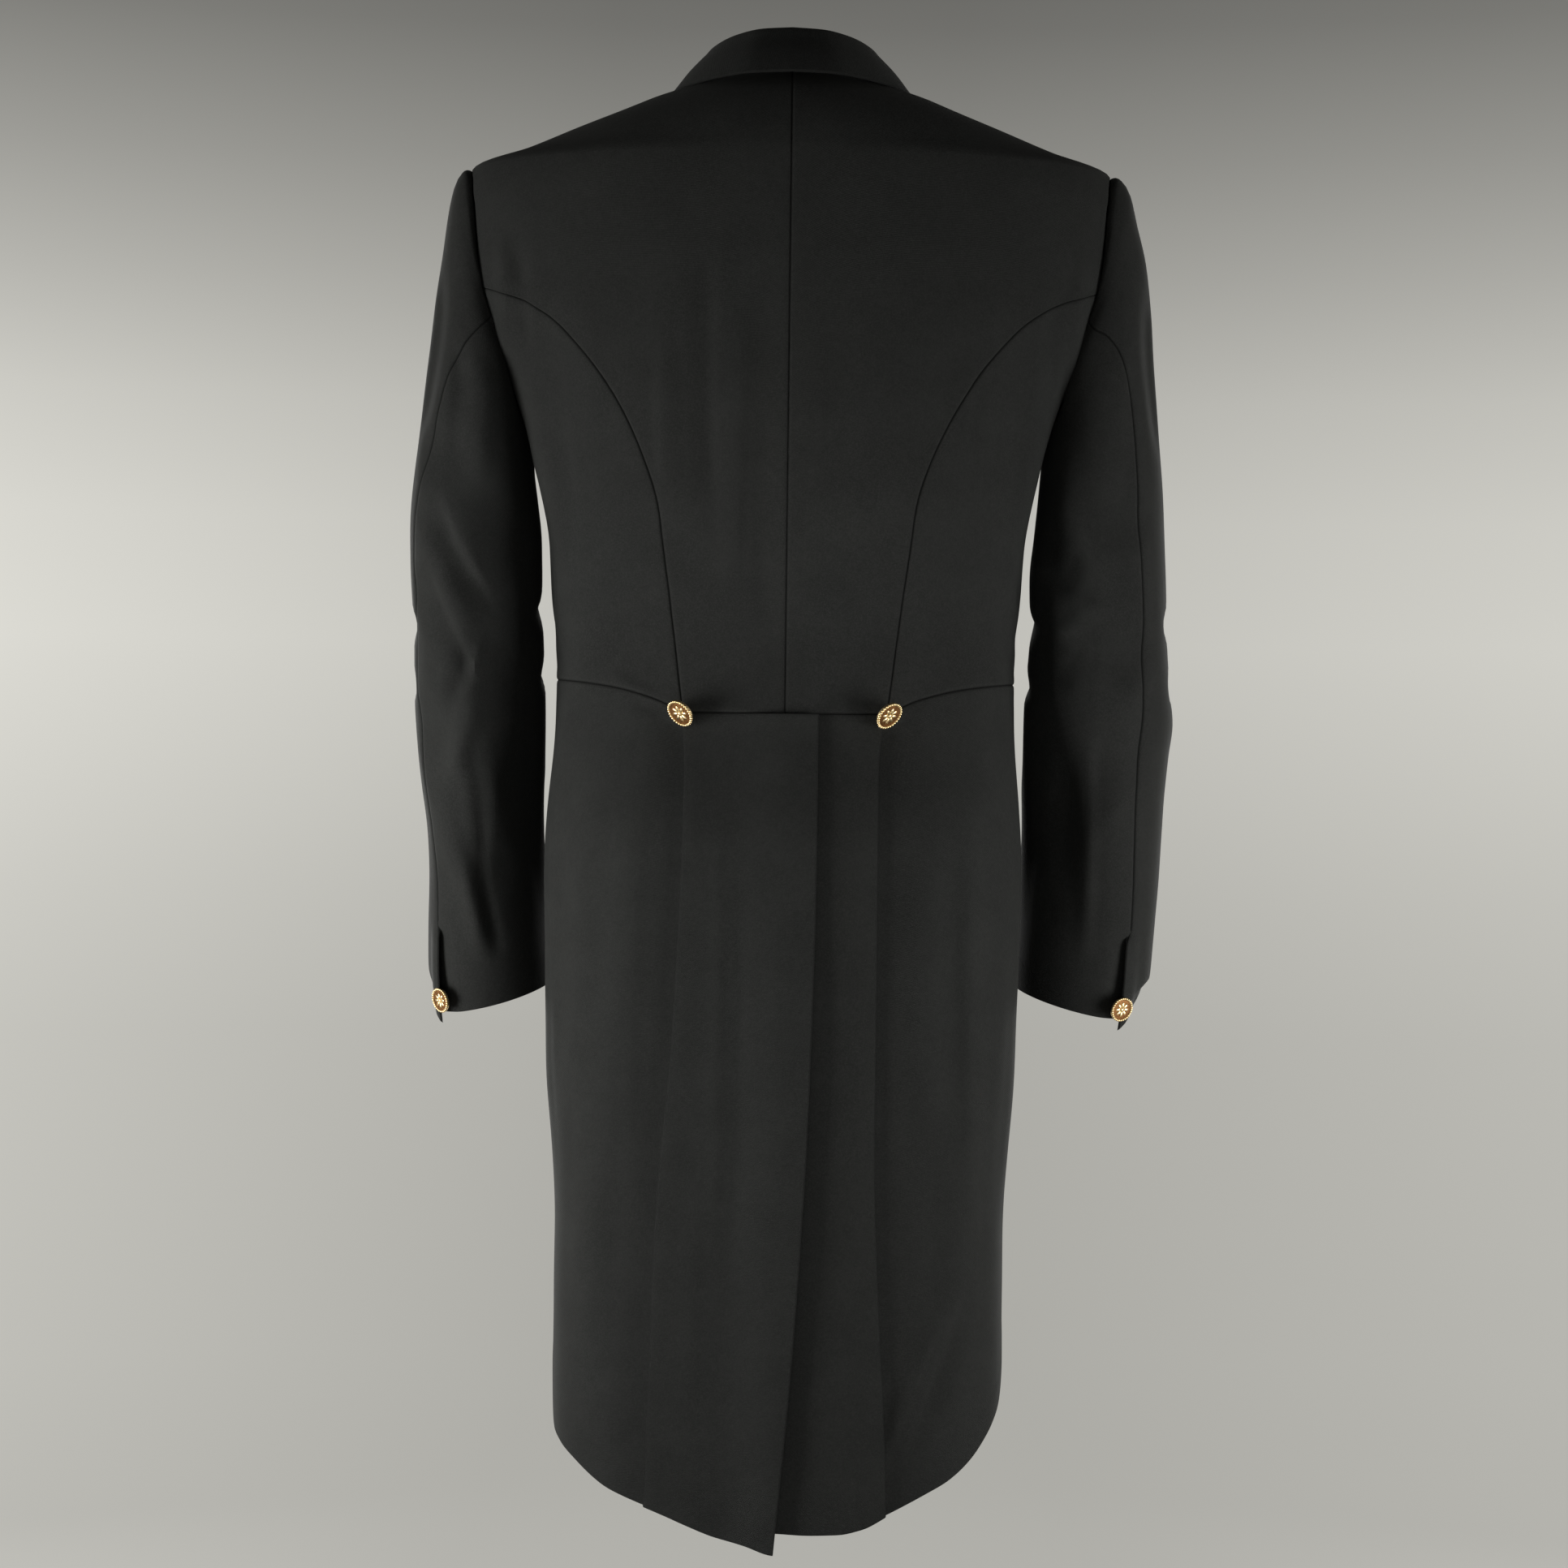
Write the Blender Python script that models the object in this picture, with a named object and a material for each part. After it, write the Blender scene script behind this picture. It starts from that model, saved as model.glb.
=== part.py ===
"""Tailcoat as worn, empty inside. Lengths in the tables are millimetres; +Z up, front faces -Y.

The origin is the centre of the neck opening at the height of the neck points. Each cloth piece is a
wall of WALL thickness whose outer face lies on one body form, cut along the coat's own seam lines.
"""

import math

import bmesh
import bpy
import numpy as np

MM = 0.001
WALL = 2.0
SEAM_GAP = 0.3
WAIST_BACK = -463.0
NECK_RISE = 8.0
BACK_COLUMNS = 8
FRONT_COLUMNS = 9
TAIL_ROWS = 17
SKIRT_ROWS = 15
HOW_FAR_TUCKED = 13.0
CENTRE_BACK = 90.0
HIP_BUTTON_DIAMETER = 22.5
CUFF_BUTTON_DIAMETER = 19.5
BUTTON_SEGMENTS = 18
BUTTON_SHANK_RADIUS = 2.1
HIP_BUTTON_DROOP = 50.0
HIP_BUTTON_X = 72.0
# Height of a hip button's middle over the form, left and right: its lower rim just meets the tail
HIP_BUTTON_HEIGHT = {1: 7.8, -1: 6.7}
HIP_SHANK, CUFF_SHANK, FRONT_SHANK = 4.0, 4.7, 4.2
CUFF_BUTTON_HEIGHT = 5.1
FRONT_BUTTON_HEIGHT = 4.5
FRONT_BUTTON_Z = -418.0

# Body form. Columns: z, half width, back depth, front depth, superellipse power, y of widest point
RINGS = (
    (10, 71, 70, 58, 2.0, 0),
    (0, 76, 74, 62, 2.0, 0),
    (-15, 113, 92, 72, 2.0, 0),
    (-35, 163, 103, 80, 2.0, 0),
    (-50, 200, 108, 85, 2.0, 0),
    (-63, 235, 111, 89, 2.0, 0),
    (-90, 243, 114, 98, 2.0, 0),
    (-150, 239, 118, 113, 2.05, 0),
    (-225, 211, 119, 122, 2.1, 1),
    (-300, 193, 112, 122, 2.2, 3),
    (-345, 181, 102, 118, 2.25, 4),
    (-420, 168, 90, 112, 2.3, 5),
    (-463, 169, 91, 112, 2.3, 7),
    (-560, 173.5, 110, 113, 2.35, 10),
    (-700, 171, 115, 112, 2.4, 12),
    (-833, 165, 113, 108, 2.4, 12),
    (-977, 164.5, 110, 106, 2.4, 12),
    (-1060, 164, 108, 105, 2.4, 12),
)

# Soft folds and dents of the form. Columns: side (0 both), x or angle of the middle at the top and
# bottom, kind ("x" across the back or "a" angle), z top, z bottom, half width, height (+ is outwards)
FOLDS = (
    (0, -4, -4, "a", -168, -395, 34, -17),
    (0, 205, 186, "x", -110, -310, 26, 3.0),
    (0, 168, 152, "x", -150, -360, 24, -2.2),
    (1, 128, 138, "x", -600, -1000, 20, 3.0),
    (-1, 133, 126, "x", -640, -990, 20, 2.6),
    (1, 152, 156, "x", -470, -760, 16, -2.2),
    (-1, 150, 153, "x", -480, -740, 16, -2.4),
)

# Side-body seam. Columns: z, x
SIDE_SEAM = (
    (-153, 226.7), (-159, 210.6), (-166, 193), (-177, 176), (-195, 157), (-224, 133),
    (-259, 112.5), (-287, 100.8), (-309, 93.3), (-338, 89), (-383, 83), (-418, 78.8),
    (-447, 75), (-462, 73),
)

# Armhole on the form. Columns: angle, z
ARMHOLE_BACK = ((0, -63), (9, -67), (14.5, -75), (17.8, -90), (19, -110), (19.2, -132), (19.1, -153))
ARMHOLE_LOW = ((19.1, -153), (18.6, -172), (17, -190), (13.5, -207), (8, -220), (1, -227), (-7, -229))
ARMHOLE_FRONT = (
    (0, -63), (-9, -67.5), (-16, -77), (-22, -93), (-27, -114), (-29.5, -138), (-29, -163),
    (-25.5, -188), (-20, -207), (-14, -221), (-7, -229),
)

# Waist seam. Columns: x, z
WAIST = ((0, -463), (73, -462), (97.7, -451), (115.7, -446), (134, -442.5), (152, -440), (168, -438))
WAIST_SIDE_Z = -438.0
UNDERARM_ANGLE, UNDERARM_ANGLE_LOW = -7.0, -4.0
WAIST_FRONT_Z = -443.0

# Rows of the back panels where they meet the side-body seam, z, shared with the side bodies
BACK_ROWS = (-153, -163, -179, -202, -227, -254, -283, -311, -341, -371, -401, -432, -462)
SHOULDER_ROWS = (0, -8, -19, -34, -49, -63)

# Side pleat line, left and right. Columns: z, x
PLEAT = {
    1: ((-463, 73), (-505, 71), (-678, 76.5), (-822, 87.5), (-966, 92), (-1060, 95)),
    -1: ((-463, 71), (-505, 67), (-763, 67), (-993, 77), (-1060, 79)),
}

# Outer edge of the left tail where it laps over the right at the vent. Columns: z, x
VENT = (
    (-463, -24), (-590, -23.4), (-676, -21.6), (-763, -19), (-821, -16.3), (-936, -9), (-1058, 1.6),
)
UNDERLAP = 15.0
# How far the tails stand off the form: at the side pleats and towards the vent
PLEAT_RAISE, PLEAT_WIDTH = 1.7, 22.0
VENT_STAND, VENT_STAND_MORE, VENT_EASE = 5.0, 2.5, (-4.0, 40.0)
UNDERLAP_SINK, UNDERLAP_EASE = 0.6, 25.0
SKIRT_SINK, SKIRT_EASE = 2.6, 30.0

# Hem behind, from the vent to the side. Columns: x, z
HEM = {
    1: (
        (-24, -1058.5), (1.8, -1058), (21, -1053), (43, -1048), (65, -1040), (87, -1031),
        (111, -1022), (126, -1015), (145, -1001), (157, -991), (163, -980),
    ),
    -1: (
        (-20, -1044), (0.4, -1044.6), (24.5, -1045.7), (44, -1045.4), (61, -1042), (80, -1032),
        (104, -1020), (124, -1010), (139, -998), (150, -985), (157, -974), (162, -960),
    ),
}

# Hem and cutaway front edge from the side to the waist; the first row differs left and right.
# Columns: angle, z
CUTAWAY_START = {1: (2, -951), -1: (4, -934)}
CUTAWAY = (
    (-4, -906), (-10, -868), (-17, -818), (-25, -757), (-36, -690), (-49, -625), (-62, -570),
    (-74, -518), (-84, -476), (-94, -443.5),
)
CUTAWAY_CORNER = 3

# Roll line of the fronts: x at the neck point, x past the centre at the waist, z of its low end
ROLL_TOP_X = 75.0
ROLL_LOW_X = -15.0
ROLL_LOW_Z = -425.0
FRONT_ROWS = (-2, -8, -19, -34, -49, -63)
FRONT_ARM_ROWS = (-67.5, -77, -93, -114, -138, -163, -188, -207, -221, -229)
FRONT_LOW_ROWS = (-262, -300, -340, -375, -408, -441)
FRONT_LAP = 3.2
FRONT_LAP_ANGLES = (62.0, 78.0)
FRONT_LAP_TOP = (255.0, 345.0)
FRONT_LAP_END = (470.0, 560.0)
# Rough length of one degree of the form, to space points evenly along a hem
DEGREE_MM = 2.3

# Lapels. Columns: z, width from the roll line
LAPEL = {
    1: (
        (-34, 76), (-49, 80), (-63, 80), (-93, 77), (-138, 72), (-188, 64), (-240, 52), (-300, 36),
        (-340, 24), (-375, 12), (-408, 3),
    ),
    -1: (
        (-34, 76), (-49, 80), (-63, 80), (-93, 77), (-138, 72), (-188, 63), (-229, 50), (-262, 35),
        (-300, 17), (-340, 3),
    ),
}
# Height of a lapel over the forepart: at its edges, more at its belly, and more at the outer edge
LAPEL_LIFT, LAPEL_BELLY, LAPEL_EDGE = 2.7, 2.4, 0.5
LAPEL_COLUMNS = 5
# Top edge of a lapel, from the gorge to the peak. Columns: part of the width, z
LAPEL_TOP = ((0, -33), (0.52, -48), (1, -38))

# Collar stations from the centre back to the front end. Columns: base, fold and edge, each x, y, z
COLLAR = (
    ((0, 66, 6), (0, 61, 33), (0, 93, -7)),
    ((22.3, 63, 6), (21, 58, 32.5), (30, 89.5, -6.5)),
    ((42.6, 51.8, 5), (39.5, 48, 30.5), (55, 76, -5)),
    ((57.8, 36.5, 4), (54, 34, 27.5), (75, 55, -3)),
    ((67, 17.2, 3), (63, 16, 24), (87, 29, -1)),
    ((70, -3, 0), (66.5, -3, 19), (92, 2, -2)),
    ((69.5, -20, -5), (68, -22, 11), (97, -22, -7)),
    ((69.5, -42, -16), (69.5, -46, -4), (105, -48, -20)),
    ((66, -63, -31), (68.5, -69, -22), (111, -70, -41)),
)

# Sleeves. Columns: z, outer x, inner x
SLEEVE = {
    1: (
        (-92, 248.6, 191), (-146, 259, 191), (-213, 268, 190), (-249, 272, 189), (-285, 276, 187),
        (-309, 278.5, 185.5), (-345, 278.5, 183.5), (-380, 277, 181), (-415, 275.5, 179),
        (-451, 275, 177.5), (-477, 273.5, 177), (-513, 270, 177.5), (-537, 267, 178),
        (-572, 262.7, 178), (-596, 261, 178), (-626, 261.3, 177.5), (-650, 260.6, 175.5),
        (-690, 258, 170.5),
    ),
    -1: (
        (-92, 253.5, 191), (-140, 264, 191), (-182, 268.5, 190.5), (-230, 272, 189.5),
        (-266, 275.5, 188.5), (-314, 278.5, 185.5), (-362, 281, 184), (-399, 282.5, 181.5),
        (-440, 285.4, 178.5), (-466, 288, 177), (-482, 286, 177), (-518, 283, 177.5),
        (-560, 281, 178), (-590, 279, 178), (-620, 276.7, 177.5), (-650, 274, 175.5),
        (-690, 267, 172.5),
    ),
}
# Columns: z, y of the middle, half depth, fall of the ring towards the back per mm
SLEEVE_DEPTH = (
    (-60, 0, 60, 0), (-228, -3, 60, 0), (-300, -3, 60, 0), (-400, -6, 59, 0.02),
    (-470, -12, 58, 0.05), (-520, -20, 55, 0.1), (-600, -38, 50, 0.16), (-690, -62, 46, 0.19),
)
# Rings of a sleeve. Columns: blend from armhole (0) to ellipse (1), z of the outer and inner points
SLEEVE_RINGS = (
    (0.06, -61.5, -230.5), (0.2, -74, -236), (0.38, -97, -243), (0.58, -128, -253),
    (0.76, -163, -266), (0.9, -202, -284), (1, -243, -306), (1, -282, -330), (1, -318, -354),
    (1, -352, -380), (1, -384, -406), (1, -414, -431), (1, -442, -455), (1, -466, -477),
    (1, -490, -499), (1, -517, -524), (1, -548, -551), (1, -580, -579), (1, -612, -607),
    (1, -630, -623), (1, -656, -641), (1, -684, -661),
)
HEAD_PUFF = 7.0
# Outer x of the first three rings of each sleeve head
HEAD_X = {1: (242.0, 246.5, 251.0), -1: (244.5, 249.0, 253.5)}
# Angle of the back seam round the sleeve, 0 outwards and 90 to the back. Columns: z, angle
BACK_SEAM = {
    1: (
        (-182, 73), (-217, 64), (-252, 52), (-293, 42), (-322, 30), (-420, 24), (-540, 30),
        (-600, 38), (-690, 40),
    ),
    -1: (
        (-171, 73), (-205, 67), (-248, 61), (-293, 58), (-400, 55), (-500, 59), (-608, 55),
        (-690, 53),
    ),
}
FRONT_SEAM = ((-182, 252), (-300, 236), (-690, 226))
SLEEVE_TOP_BACK = 7
SLEEVE_TOP_FRONT = 7
SLEEVE_CLEAR = 2.0
VENT_ROWS = 4
VENT_LAP = 11.0
VENT_RISE = 3.2
VENT_NARROW = 0.3
VENT_POINT = 7.0

# Drag folds of the sleeves. Columns: side, z and angle of one end, z and angle of the other,
# half width in mm, height (+ is outwards)
SLEEVE_FOLDS = (
    (1, -275, 60, -345, 130, 24, -4.5),
    (1, -375, 50, -440, 125, 22, -4.5),
    (1, -470, 45, -570, 100, 24, -3.5),
    (-1, -240, 125, -320, 75, 22, -3.5),
    (-1, -340, 135, -415, 75, 22, -4.5),
    (-1, -475, 70, -535, 125, 22, -3.5),
)

CLOTH = ("black_wool", (0.021, 0.021, 0.02, 1), 0.85, 0.0)
GOLD = ("gilt_metal", (0.72, 0.52, 0.24, 1), 0.32, 1.0)


def smooth(table, at, column=1):
    """The column of a table at a value of its first column, by a monotone cubic."""
    rows = sorted((float(row[0]), float(row[column])) for row in table)
    xs = np.array([row[0] for row in rows])
    ys = np.array([row[1] for row in rows])
    if at <= xs[0]:
        return float(ys[0])
    if at >= xs[-1]:
        return float(ys[-1])
    steps = np.diff(xs)
    slopes = np.diff(ys) / steps
    i = int(np.searchsorted(xs, at, side="right")) - 1

    def tangent(k):
        if k == 0:
            return slopes[0]
        if k == len(xs) - 1:
            return slopes[-1]
        a, b = slopes[k - 1], slopes[k]
        if a * b <= 0:
            return 0.0
        return 3 * (steps[k - 1] + steps[k]) / (
            (2 * steps[k] + steps[k - 1]) / a + (steps[k] + 2 * steps[k - 1]) / b
        )

    h = steps[i]
    t = (at - xs[i]) / h
    return float(
        ys[i] * (1 + 2 * t) * (1 - t) ** 2
        + h * tangent(i) * t * (1 - t) ** 2
        + ys[i + 1] * t * t * (3 - 2 * t)
        + h * tangent(i + 1) * t * t * (t - 1)
    )


def bump(value):
    """1 at 0, falling smoothly to 0 at 1."""
    value = min(abs(value), 1.0)
    return (1 - value * value) ** 2


def ring(z):
    return [smooth(RINGS, z, column) for column in range(1, 6)]


def angle_at(x, z):
    """Angle on the back half of the form's ring where it is x from the middle."""
    width, _, _, power, _ = ring(z)
    ratio = min(abs(x) / width, 1.0)
    angle = math.degrees(math.acos(min(1.0, ratio ** (power / 2))))
    return angle if x >= 0 else 180 - angle


def front_angle_at(x, z):
    return -angle_at(x, z)


def bare(angle, z):
    """Point of the form without folds, on the +X side of the coat."""
    width, back, front, power, middle = ring(z)
    c = math.cos(math.radians(angle))
    s = math.sin(math.radians(angle))
    depth = back - middle if s > 0 else front + middle
    x = width * math.copysign(abs(c) ** (2 / power), c)
    y = middle + depth * math.copysign(abs(s) ** (2 / power), s)
    return np.array((x, y, z))


def fold_height(side, angle, z):
    total = 0.0
    for which, top, low, kind, z_top, z_low, half, height in FOLDS:
        if which not in (0, side) or not z_low < z < z_top:
            continue
        along = (z_top - z) / (z_top - z_low)
        middle = top + (low - top) * along
        if kind == "a":
            away = (angle - middle) / half
        elif angle <= 2:
            continue
        else:
            away = (bare(angle, z)[0] - middle) / half
        total += height * bump(away) * bump(2 * along - 1)
    return total


def normal_at(angle, z):
    step = 0.4
    across = bare(angle + step, z) - bare(angle - step, z)
    down = bare(angle, z - step) - bare(angle, z + step)
    normal = np.cross(down, across)
    return normal / np.linalg.norm(normal)


def form(side, angle, z, rise=0.0):
    """(point, normal) on the form, rise mm outwards."""
    normal = normal_at(angle, z)
    point = bare(angle, z) + normal * (fold_height(side, angle, z) + rise)
    flip = np.array((side, 1, 1))
    return point * flip, normal * flip


def resampled(points, count):
    """count + 1 points spaced evenly along a polyline."""
    points = np.array(points, float)
    lengths = np.concatenate([[0], np.cumsum(np.linalg.norm(np.diff(points, axis=0), axis=1))])
    at = np.linspace(0, lengths[-1], count + 1)
    return np.stack([np.interp(at, lengths, points[:, k]) for k in range(points.shape[1])], axis=1)


def evenly(points, count):
    """Points (angle, z) respaced evenly along their line on the form."""
    scaled = resampled([(angle * DEGREE_MM, z) for angle, z in points], count)
    return [(angle / DEGREE_MM, z) for angle, z in scaled]


def coons(top, low, first, last):
    """Grid of (angle, z) between four edges; top and low run from first to last."""
    top, low, first, last = (np.array(edge, float) for edge in (top, low, first, last))
    u = np.linspace(0, 1, len(first))[:, None, None]
    v = np.linspace(0, 1, len(top))[None, :, None]
    corners = (
        (1 - u) * (1 - v) * top[0] + (1 - u) * v * top[-1] + u * (1 - v) * low[0] + u * v * low[-1]
    )
    return (1 - u) * top[None] + u * low[None] + (1 - v) * first[:, None] + v * last[:, None] - corners


def unit(vectors):
    return vectors / np.maximum(np.linalg.norm(vectors, axis=-1, keepdims=True), 1e-9)


def inset(points, normals, amount=SEAM_GAP / 2):
    """The grid with its four edges moved in, square to each edge."""
    moved = points.copy()
    for flip in (False, True):
        grid = points.swapaxes(0, 1) if flip else points
        facing = normals.swapaxes(0, 1) if flip else normals
        target = moved.swapaxes(0, 1) if flip else moved
        for edge, inner in ((0, 1), (-1, -2)):
            along = np.gradient(grid[edge], axis=0)
            across = unit(np.cross(along, facing[edge]))
            sign = np.sign(((grid[inner] - grid[edge]) * across).sum(axis=1, keepdims=True))
            target[edge] += across * sign * amount
    return moved


def material(spec):
    name, colour, roughness, metallic = spec
    made = bpy.data.materials.get(name)
    if made:
        return made
    made = bpy.data.materials.new(name)
    made.use_nodes = True
    shader = made.node_tree.nodes["Principled BSDF"]
    shader.inputs["Base Color"].default_value = colour
    shader.inputs["Roughness"].default_value = roughness
    shader.inputs["Metallic"].default_value = metallic
    made.diffuse_color = colour
    return made


def finish(name, mesh_edit, spec):
    """A bmesh in millimetres becomes a named object of the coat, in metres."""
    bmesh.ops.scale(mesh_edit, vec=(MM, MM, MM), verts=mesh_edit.verts)
    bmesh.ops.recalc_face_normals(mesh_edit, faces=mesh_edit.faces)
    if mesh_edit.calc_volume(signed=True) < 0:
        bmesh.ops.reverse_faces(mesh_edit, faces=mesh_edit.faces)
    mesh = bpy.data.meshes.new(name)
    mesh_edit.to_mesh(mesh)
    mesh_edit.free()
    mesh.materials.append(material(spec))
    made = bpy.data.objects.new(name, mesh)
    bpy.data.collections["Tailcoat"].objects.link(made)
    return made


def wall(name, points, normals, thickness=WALL):
    """A closed wall: the grid of points is its outer face, lofted to a second face inside it."""
    rows, columns = points.shape[:2]
    mesh_edit = bmesh.new()
    faces = []
    for layer in (points, points - normals * thickness):
        faces.append([[mesh_edit.verts.new(p) for p in row] for row in layer])
    outer, inner = faces
    for i in range(rows - 1):
        for j in range(columns - 1):
            a = [(i, j), (i, j + 1), (i + 1, j + 1), (i + 1, j)]
            # The same diagonal on both faces keeps the wall even.
            short = np.linalg.norm(points[i, j] - points[i + 1, j + 1])
            other = np.linalg.norm(points[i, j + 1] - points[i + 1, j])
            order = (0, 1, 2), (0, 2, 3)
            if other < short:
                order = (1, 2, 3), (1, 3, 0)
            for corners in order:
                mesh_edit.faces.new([outer[a[k][0]][a[k][1]] for k in corners])
                mesh_edit.faces.new([inner[a[k][0]][a[k][1]] for k in reversed(corners)])
    edge = [(0, j) for j in range(columns)]
    edge += [(i, columns - 1) for i in range(1, rows)]
    edge += [(rows - 1, j) for j in range(columns - 2, -1, -1)]
    edge += [(i, 0) for i in range(rows - 2, 0, -1)]
    for (i, j), (k, m) in zip(edge, edge[1:] + edge[:1]):
        mesh_edit.faces.new([outer[i][j], inner[i][j], inner[k][m], outer[k][m]])
    return finish(name, mesh_edit, CLOTH)


def panel(name, side, grid, rise=None):
    """A wall on the form from a grid of (angle, z), each point raised by rise(angle, z, i, j)."""
    rows, columns = len(grid), len(grid[0])
    points = np.zeros((rows, columns, 3))
    normals = np.zeros((rows, columns, 3))
    for i in range(rows):
        for j in range(columns):
            angle, z = grid[i][j]
            up = rise(angle, z, i, j) if rise else 0.0
            points[i, j], normals[i, j] = form(side, angle, z, up)
    wall(name, inset(points, normals), normals)
    return points, normals


def step(value, low, high):
    t = min(max((value - low) / (high - low), 0.0), 1.0)
    return t * t * (3 - 2 * t)


def side_seam_points():
    return [(angle_at(smooth(SIDE_SEAM, z), z), z) for z in BACK_ROWS]


def neck_z(angle):
    return NECK_RISE * math.sin(math.radians(min(angle, CENTRE_BACK))) ** 2


def build_backs():
    columns = BACK_COLUMNS
    outer = [(0.0, z) for z in SHOULDER_ROWS]
    outer += list(ARMHOLE_BACK[1:-1]) + side_seam_points()
    centre = []
    seam_from = len(outer) - len(BACK_ROWS)
    for index, (_, z) in enumerate(outer):
        z += neck_z(CENTRE_BACK) * (1 - step(-z, 0, 60))
        if index >= seam_from:
            part = (index - seam_from) / (len(BACK_ROWS) - 1)
            z = BACK_ROWS[0] + (WAIST_BACK - BACK_ROWS[0]) * part
        centre.append((CENTRE_BACK, z))
    angles = np.linspace(CENTRE_BACK, 0, columns + 1)
    top = [(a, neck_z(a)) for a in angles]
    last = outer[-1]
    low = [
        (CENTRE_BACK + (last[0] - CENTRE_BACK) * k / columns, WAIST_BACK + k / columns)
        for k in range(columns + 1)
    ]
    for side, name in ((1, "back_left"), (-1, "back_right")):
        panel(name, side, coons(top, low, centre, outer))
    return low


def underarm_angle(z):
    part = step(-z, -ARMHOLE_LOW[-1][1], -WAIST_SIDE_Z)
    return UNDERARM_ANGLE + (UNDERARM_ANGLE_LOW - UNDERARM_ANGLE) * part


def underarm_seam(count):
    """Seam between side body and forepart, from the armhole to the waist."""
    return [(underarm_angle(z), z) for z in np.linspace(ARMHOLE_LOW[-1][1], WAIST_SIDE_Z, count)]


def waist_side(columns):
    """The waist seam from the side-body seam to the underarm seam, as (angle, z)."""
    points = [(angle_at(x, z), z) for x, z in WAIST[1:]]
    points.append((UNDERARM_ANGLE_LOW, WAIST_SIDE_Z))
    return resampled(points, columns)


def build_side_bodies():
    top = ARMHOLE_LOW
    low = waist_side(len(top) - 1)
    first = side_seam_points()
    last = underarm_seam(len(first))
    grid = coons(top, low, first, last)
    for side, name in ((1, "side_body_left"), (-1, "side_body_right")):
        panel(name, side, grid)
    return low


def roll_x(z):
    return ROLL_TOP_X + (ROLL_LOW_X - ROLL_TOP_X) * min(1.0, z / ROLL_LOW_Z)


def front_grid():
    """Forepart from the shoulder, armhole and underarm seam to the roll line."""
    columns = FRONT_COLUMNS
    outer = [(0.0, z) for z in FRONT_ROWS]
    outer += list(ARMHOLE_FRONT[1:])
    outer += underarm_low()
    grid = []
    for angle, z in outer:
        z_edge = z + (WAIST_FRONT_Z - WAIST_SIDE_Z) * step(-z, 400, -WAIST_SIDE_Z)
        edge = front_angle_at(roll_x(z_edge), z_edge)
        row = []
        for j in range(columns + 1):
            t = j / columns
            row.append((angle + (edge - angle) * t, z + (z_edge - z) * t))
        grid.append(row)
    return grid


def underarm_low():
    return [(underarm_angle(z), z) for z in FRONT_LOW_ROWS[:-1] + (WAIST_SIDE_Z,)]


def front_rise(side):
    """The left front laps over the right one near the centre."""

    def rise(angle, z, i, j):
        if side < 0:
            return 0.0
        return FRONT_LAP * step(-angle, *FRONT_LAP_ANGLES) * step(-z, *FRONT_LAP_TOP)

    return rise


def build_fronts():
    grid = front_grid()
    for side, name in ((1, "front_left"), (-1, "front_right")):
        panel(name, side, grid, front_rise(side))
    return grid[-1]


def build_lapels():
    columns = LAPEL_COLUMNS
    rows = FRONT_ROWS[3:] + FRONT_ARM_ROWS[1:] + FRONT_LOW_ROWS[:-1]
    for side, name in ((1, "lapel_left"), (-1, "lapel_right")):
        used = [z for z in rows if z >= LAPEL[side][-1][0]]
        grid = []
        for z in used:
            inner = roll_x(z) + 0.5
            width = smooth(LAPEL[side], z)
            row = []
            for j in range(columns + 1):
                t = j / columns
                x = inner + width * t
                lift = (smooth(LAPEL_TOP, t) - rows[0]) * step(z, -110, rows[0])
                row.append((front_angle_at(x, z + lift), z + lift))
            grid.append(row)
        base = front_rise(side)

        def rise(angle, z, i, j, base=base):
            t = j / columns
            lift = LAPEL_LIFT + LAPEL_BELLY * bump(1.6 * (t - 0.55)) + LAPEL_EDGE * t
            return base(angle, z, i, j) + lift

        panel(name, side, grid, rise)


def pleat_angle(side, z, past=0.0):
    return angle_at(smooth(PLEAT[side], z) - past, z)


def hem_z(side, x):
    return smooth(HEM[side], x)


def pleat_hem_x(side):
    """Where the side pleat meets the hem."""
    return smooth(PLEAT[side], -1030)


def build_tails(waist_row):
    """Centre tails below the waist seam; the left one laps over the right at the vent."""
    rows = TAIL_ROWS
    for side, name in ((1, "tail_left"), (-1, "tail_right")):
        pleat_hem_z = hem_z(side, pleat_hem_x(side))
        first = []
        last = []
        for i in range(rows + 1):
            t = i / rows
            z = WAIST_BACK + (pleat_hem_z - WAIST_BACK) * t
            last.append((pleat_angle(side, z), z))
            end_x = VENT[-1][1] if side > 0 else -UNDERLAP
            z = WAIST_BACK + (hem_z(side, end_x) - WAIST_BACK) * t
            x = smooth(VENT, z) if side > 0 else -UNDERLAP
            first.append((angle_at(x, z), z))
        top = [first[0]] + [tuple(p) for p in waist_row]
        low_x = np.linspace(end_x, pleat_hem_x(side), len(top))
        low = [(angle_at(x, hem_z(side, x)), hem_z(side, x)) for x in low_x]
        top[-1] = last[0]
        low[0] = first[-1]
        low[-1] = last[-1]
        grid = coons(top, low, first, last)

        def rise(angle, z, i, j, side=side):
            x = bare(angle, z)[0]
            pleat = smooth(PLEAT[side], z)
            out = PLEAT_RAISE * bump((pleat - x) / PLEAT_WIDTH)
            if side < 0:
                return out - UNDERLAP_SINK * (1 - step(x, 0, UNDERLAP_EASE))
            stand = VENT_STAND + VENT_STAND_MORE * step(-z, 500, 700)
            return out + stand * (1 - step(x, *VENT_EASE))

        panel(name, side, grid, rise)


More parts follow.
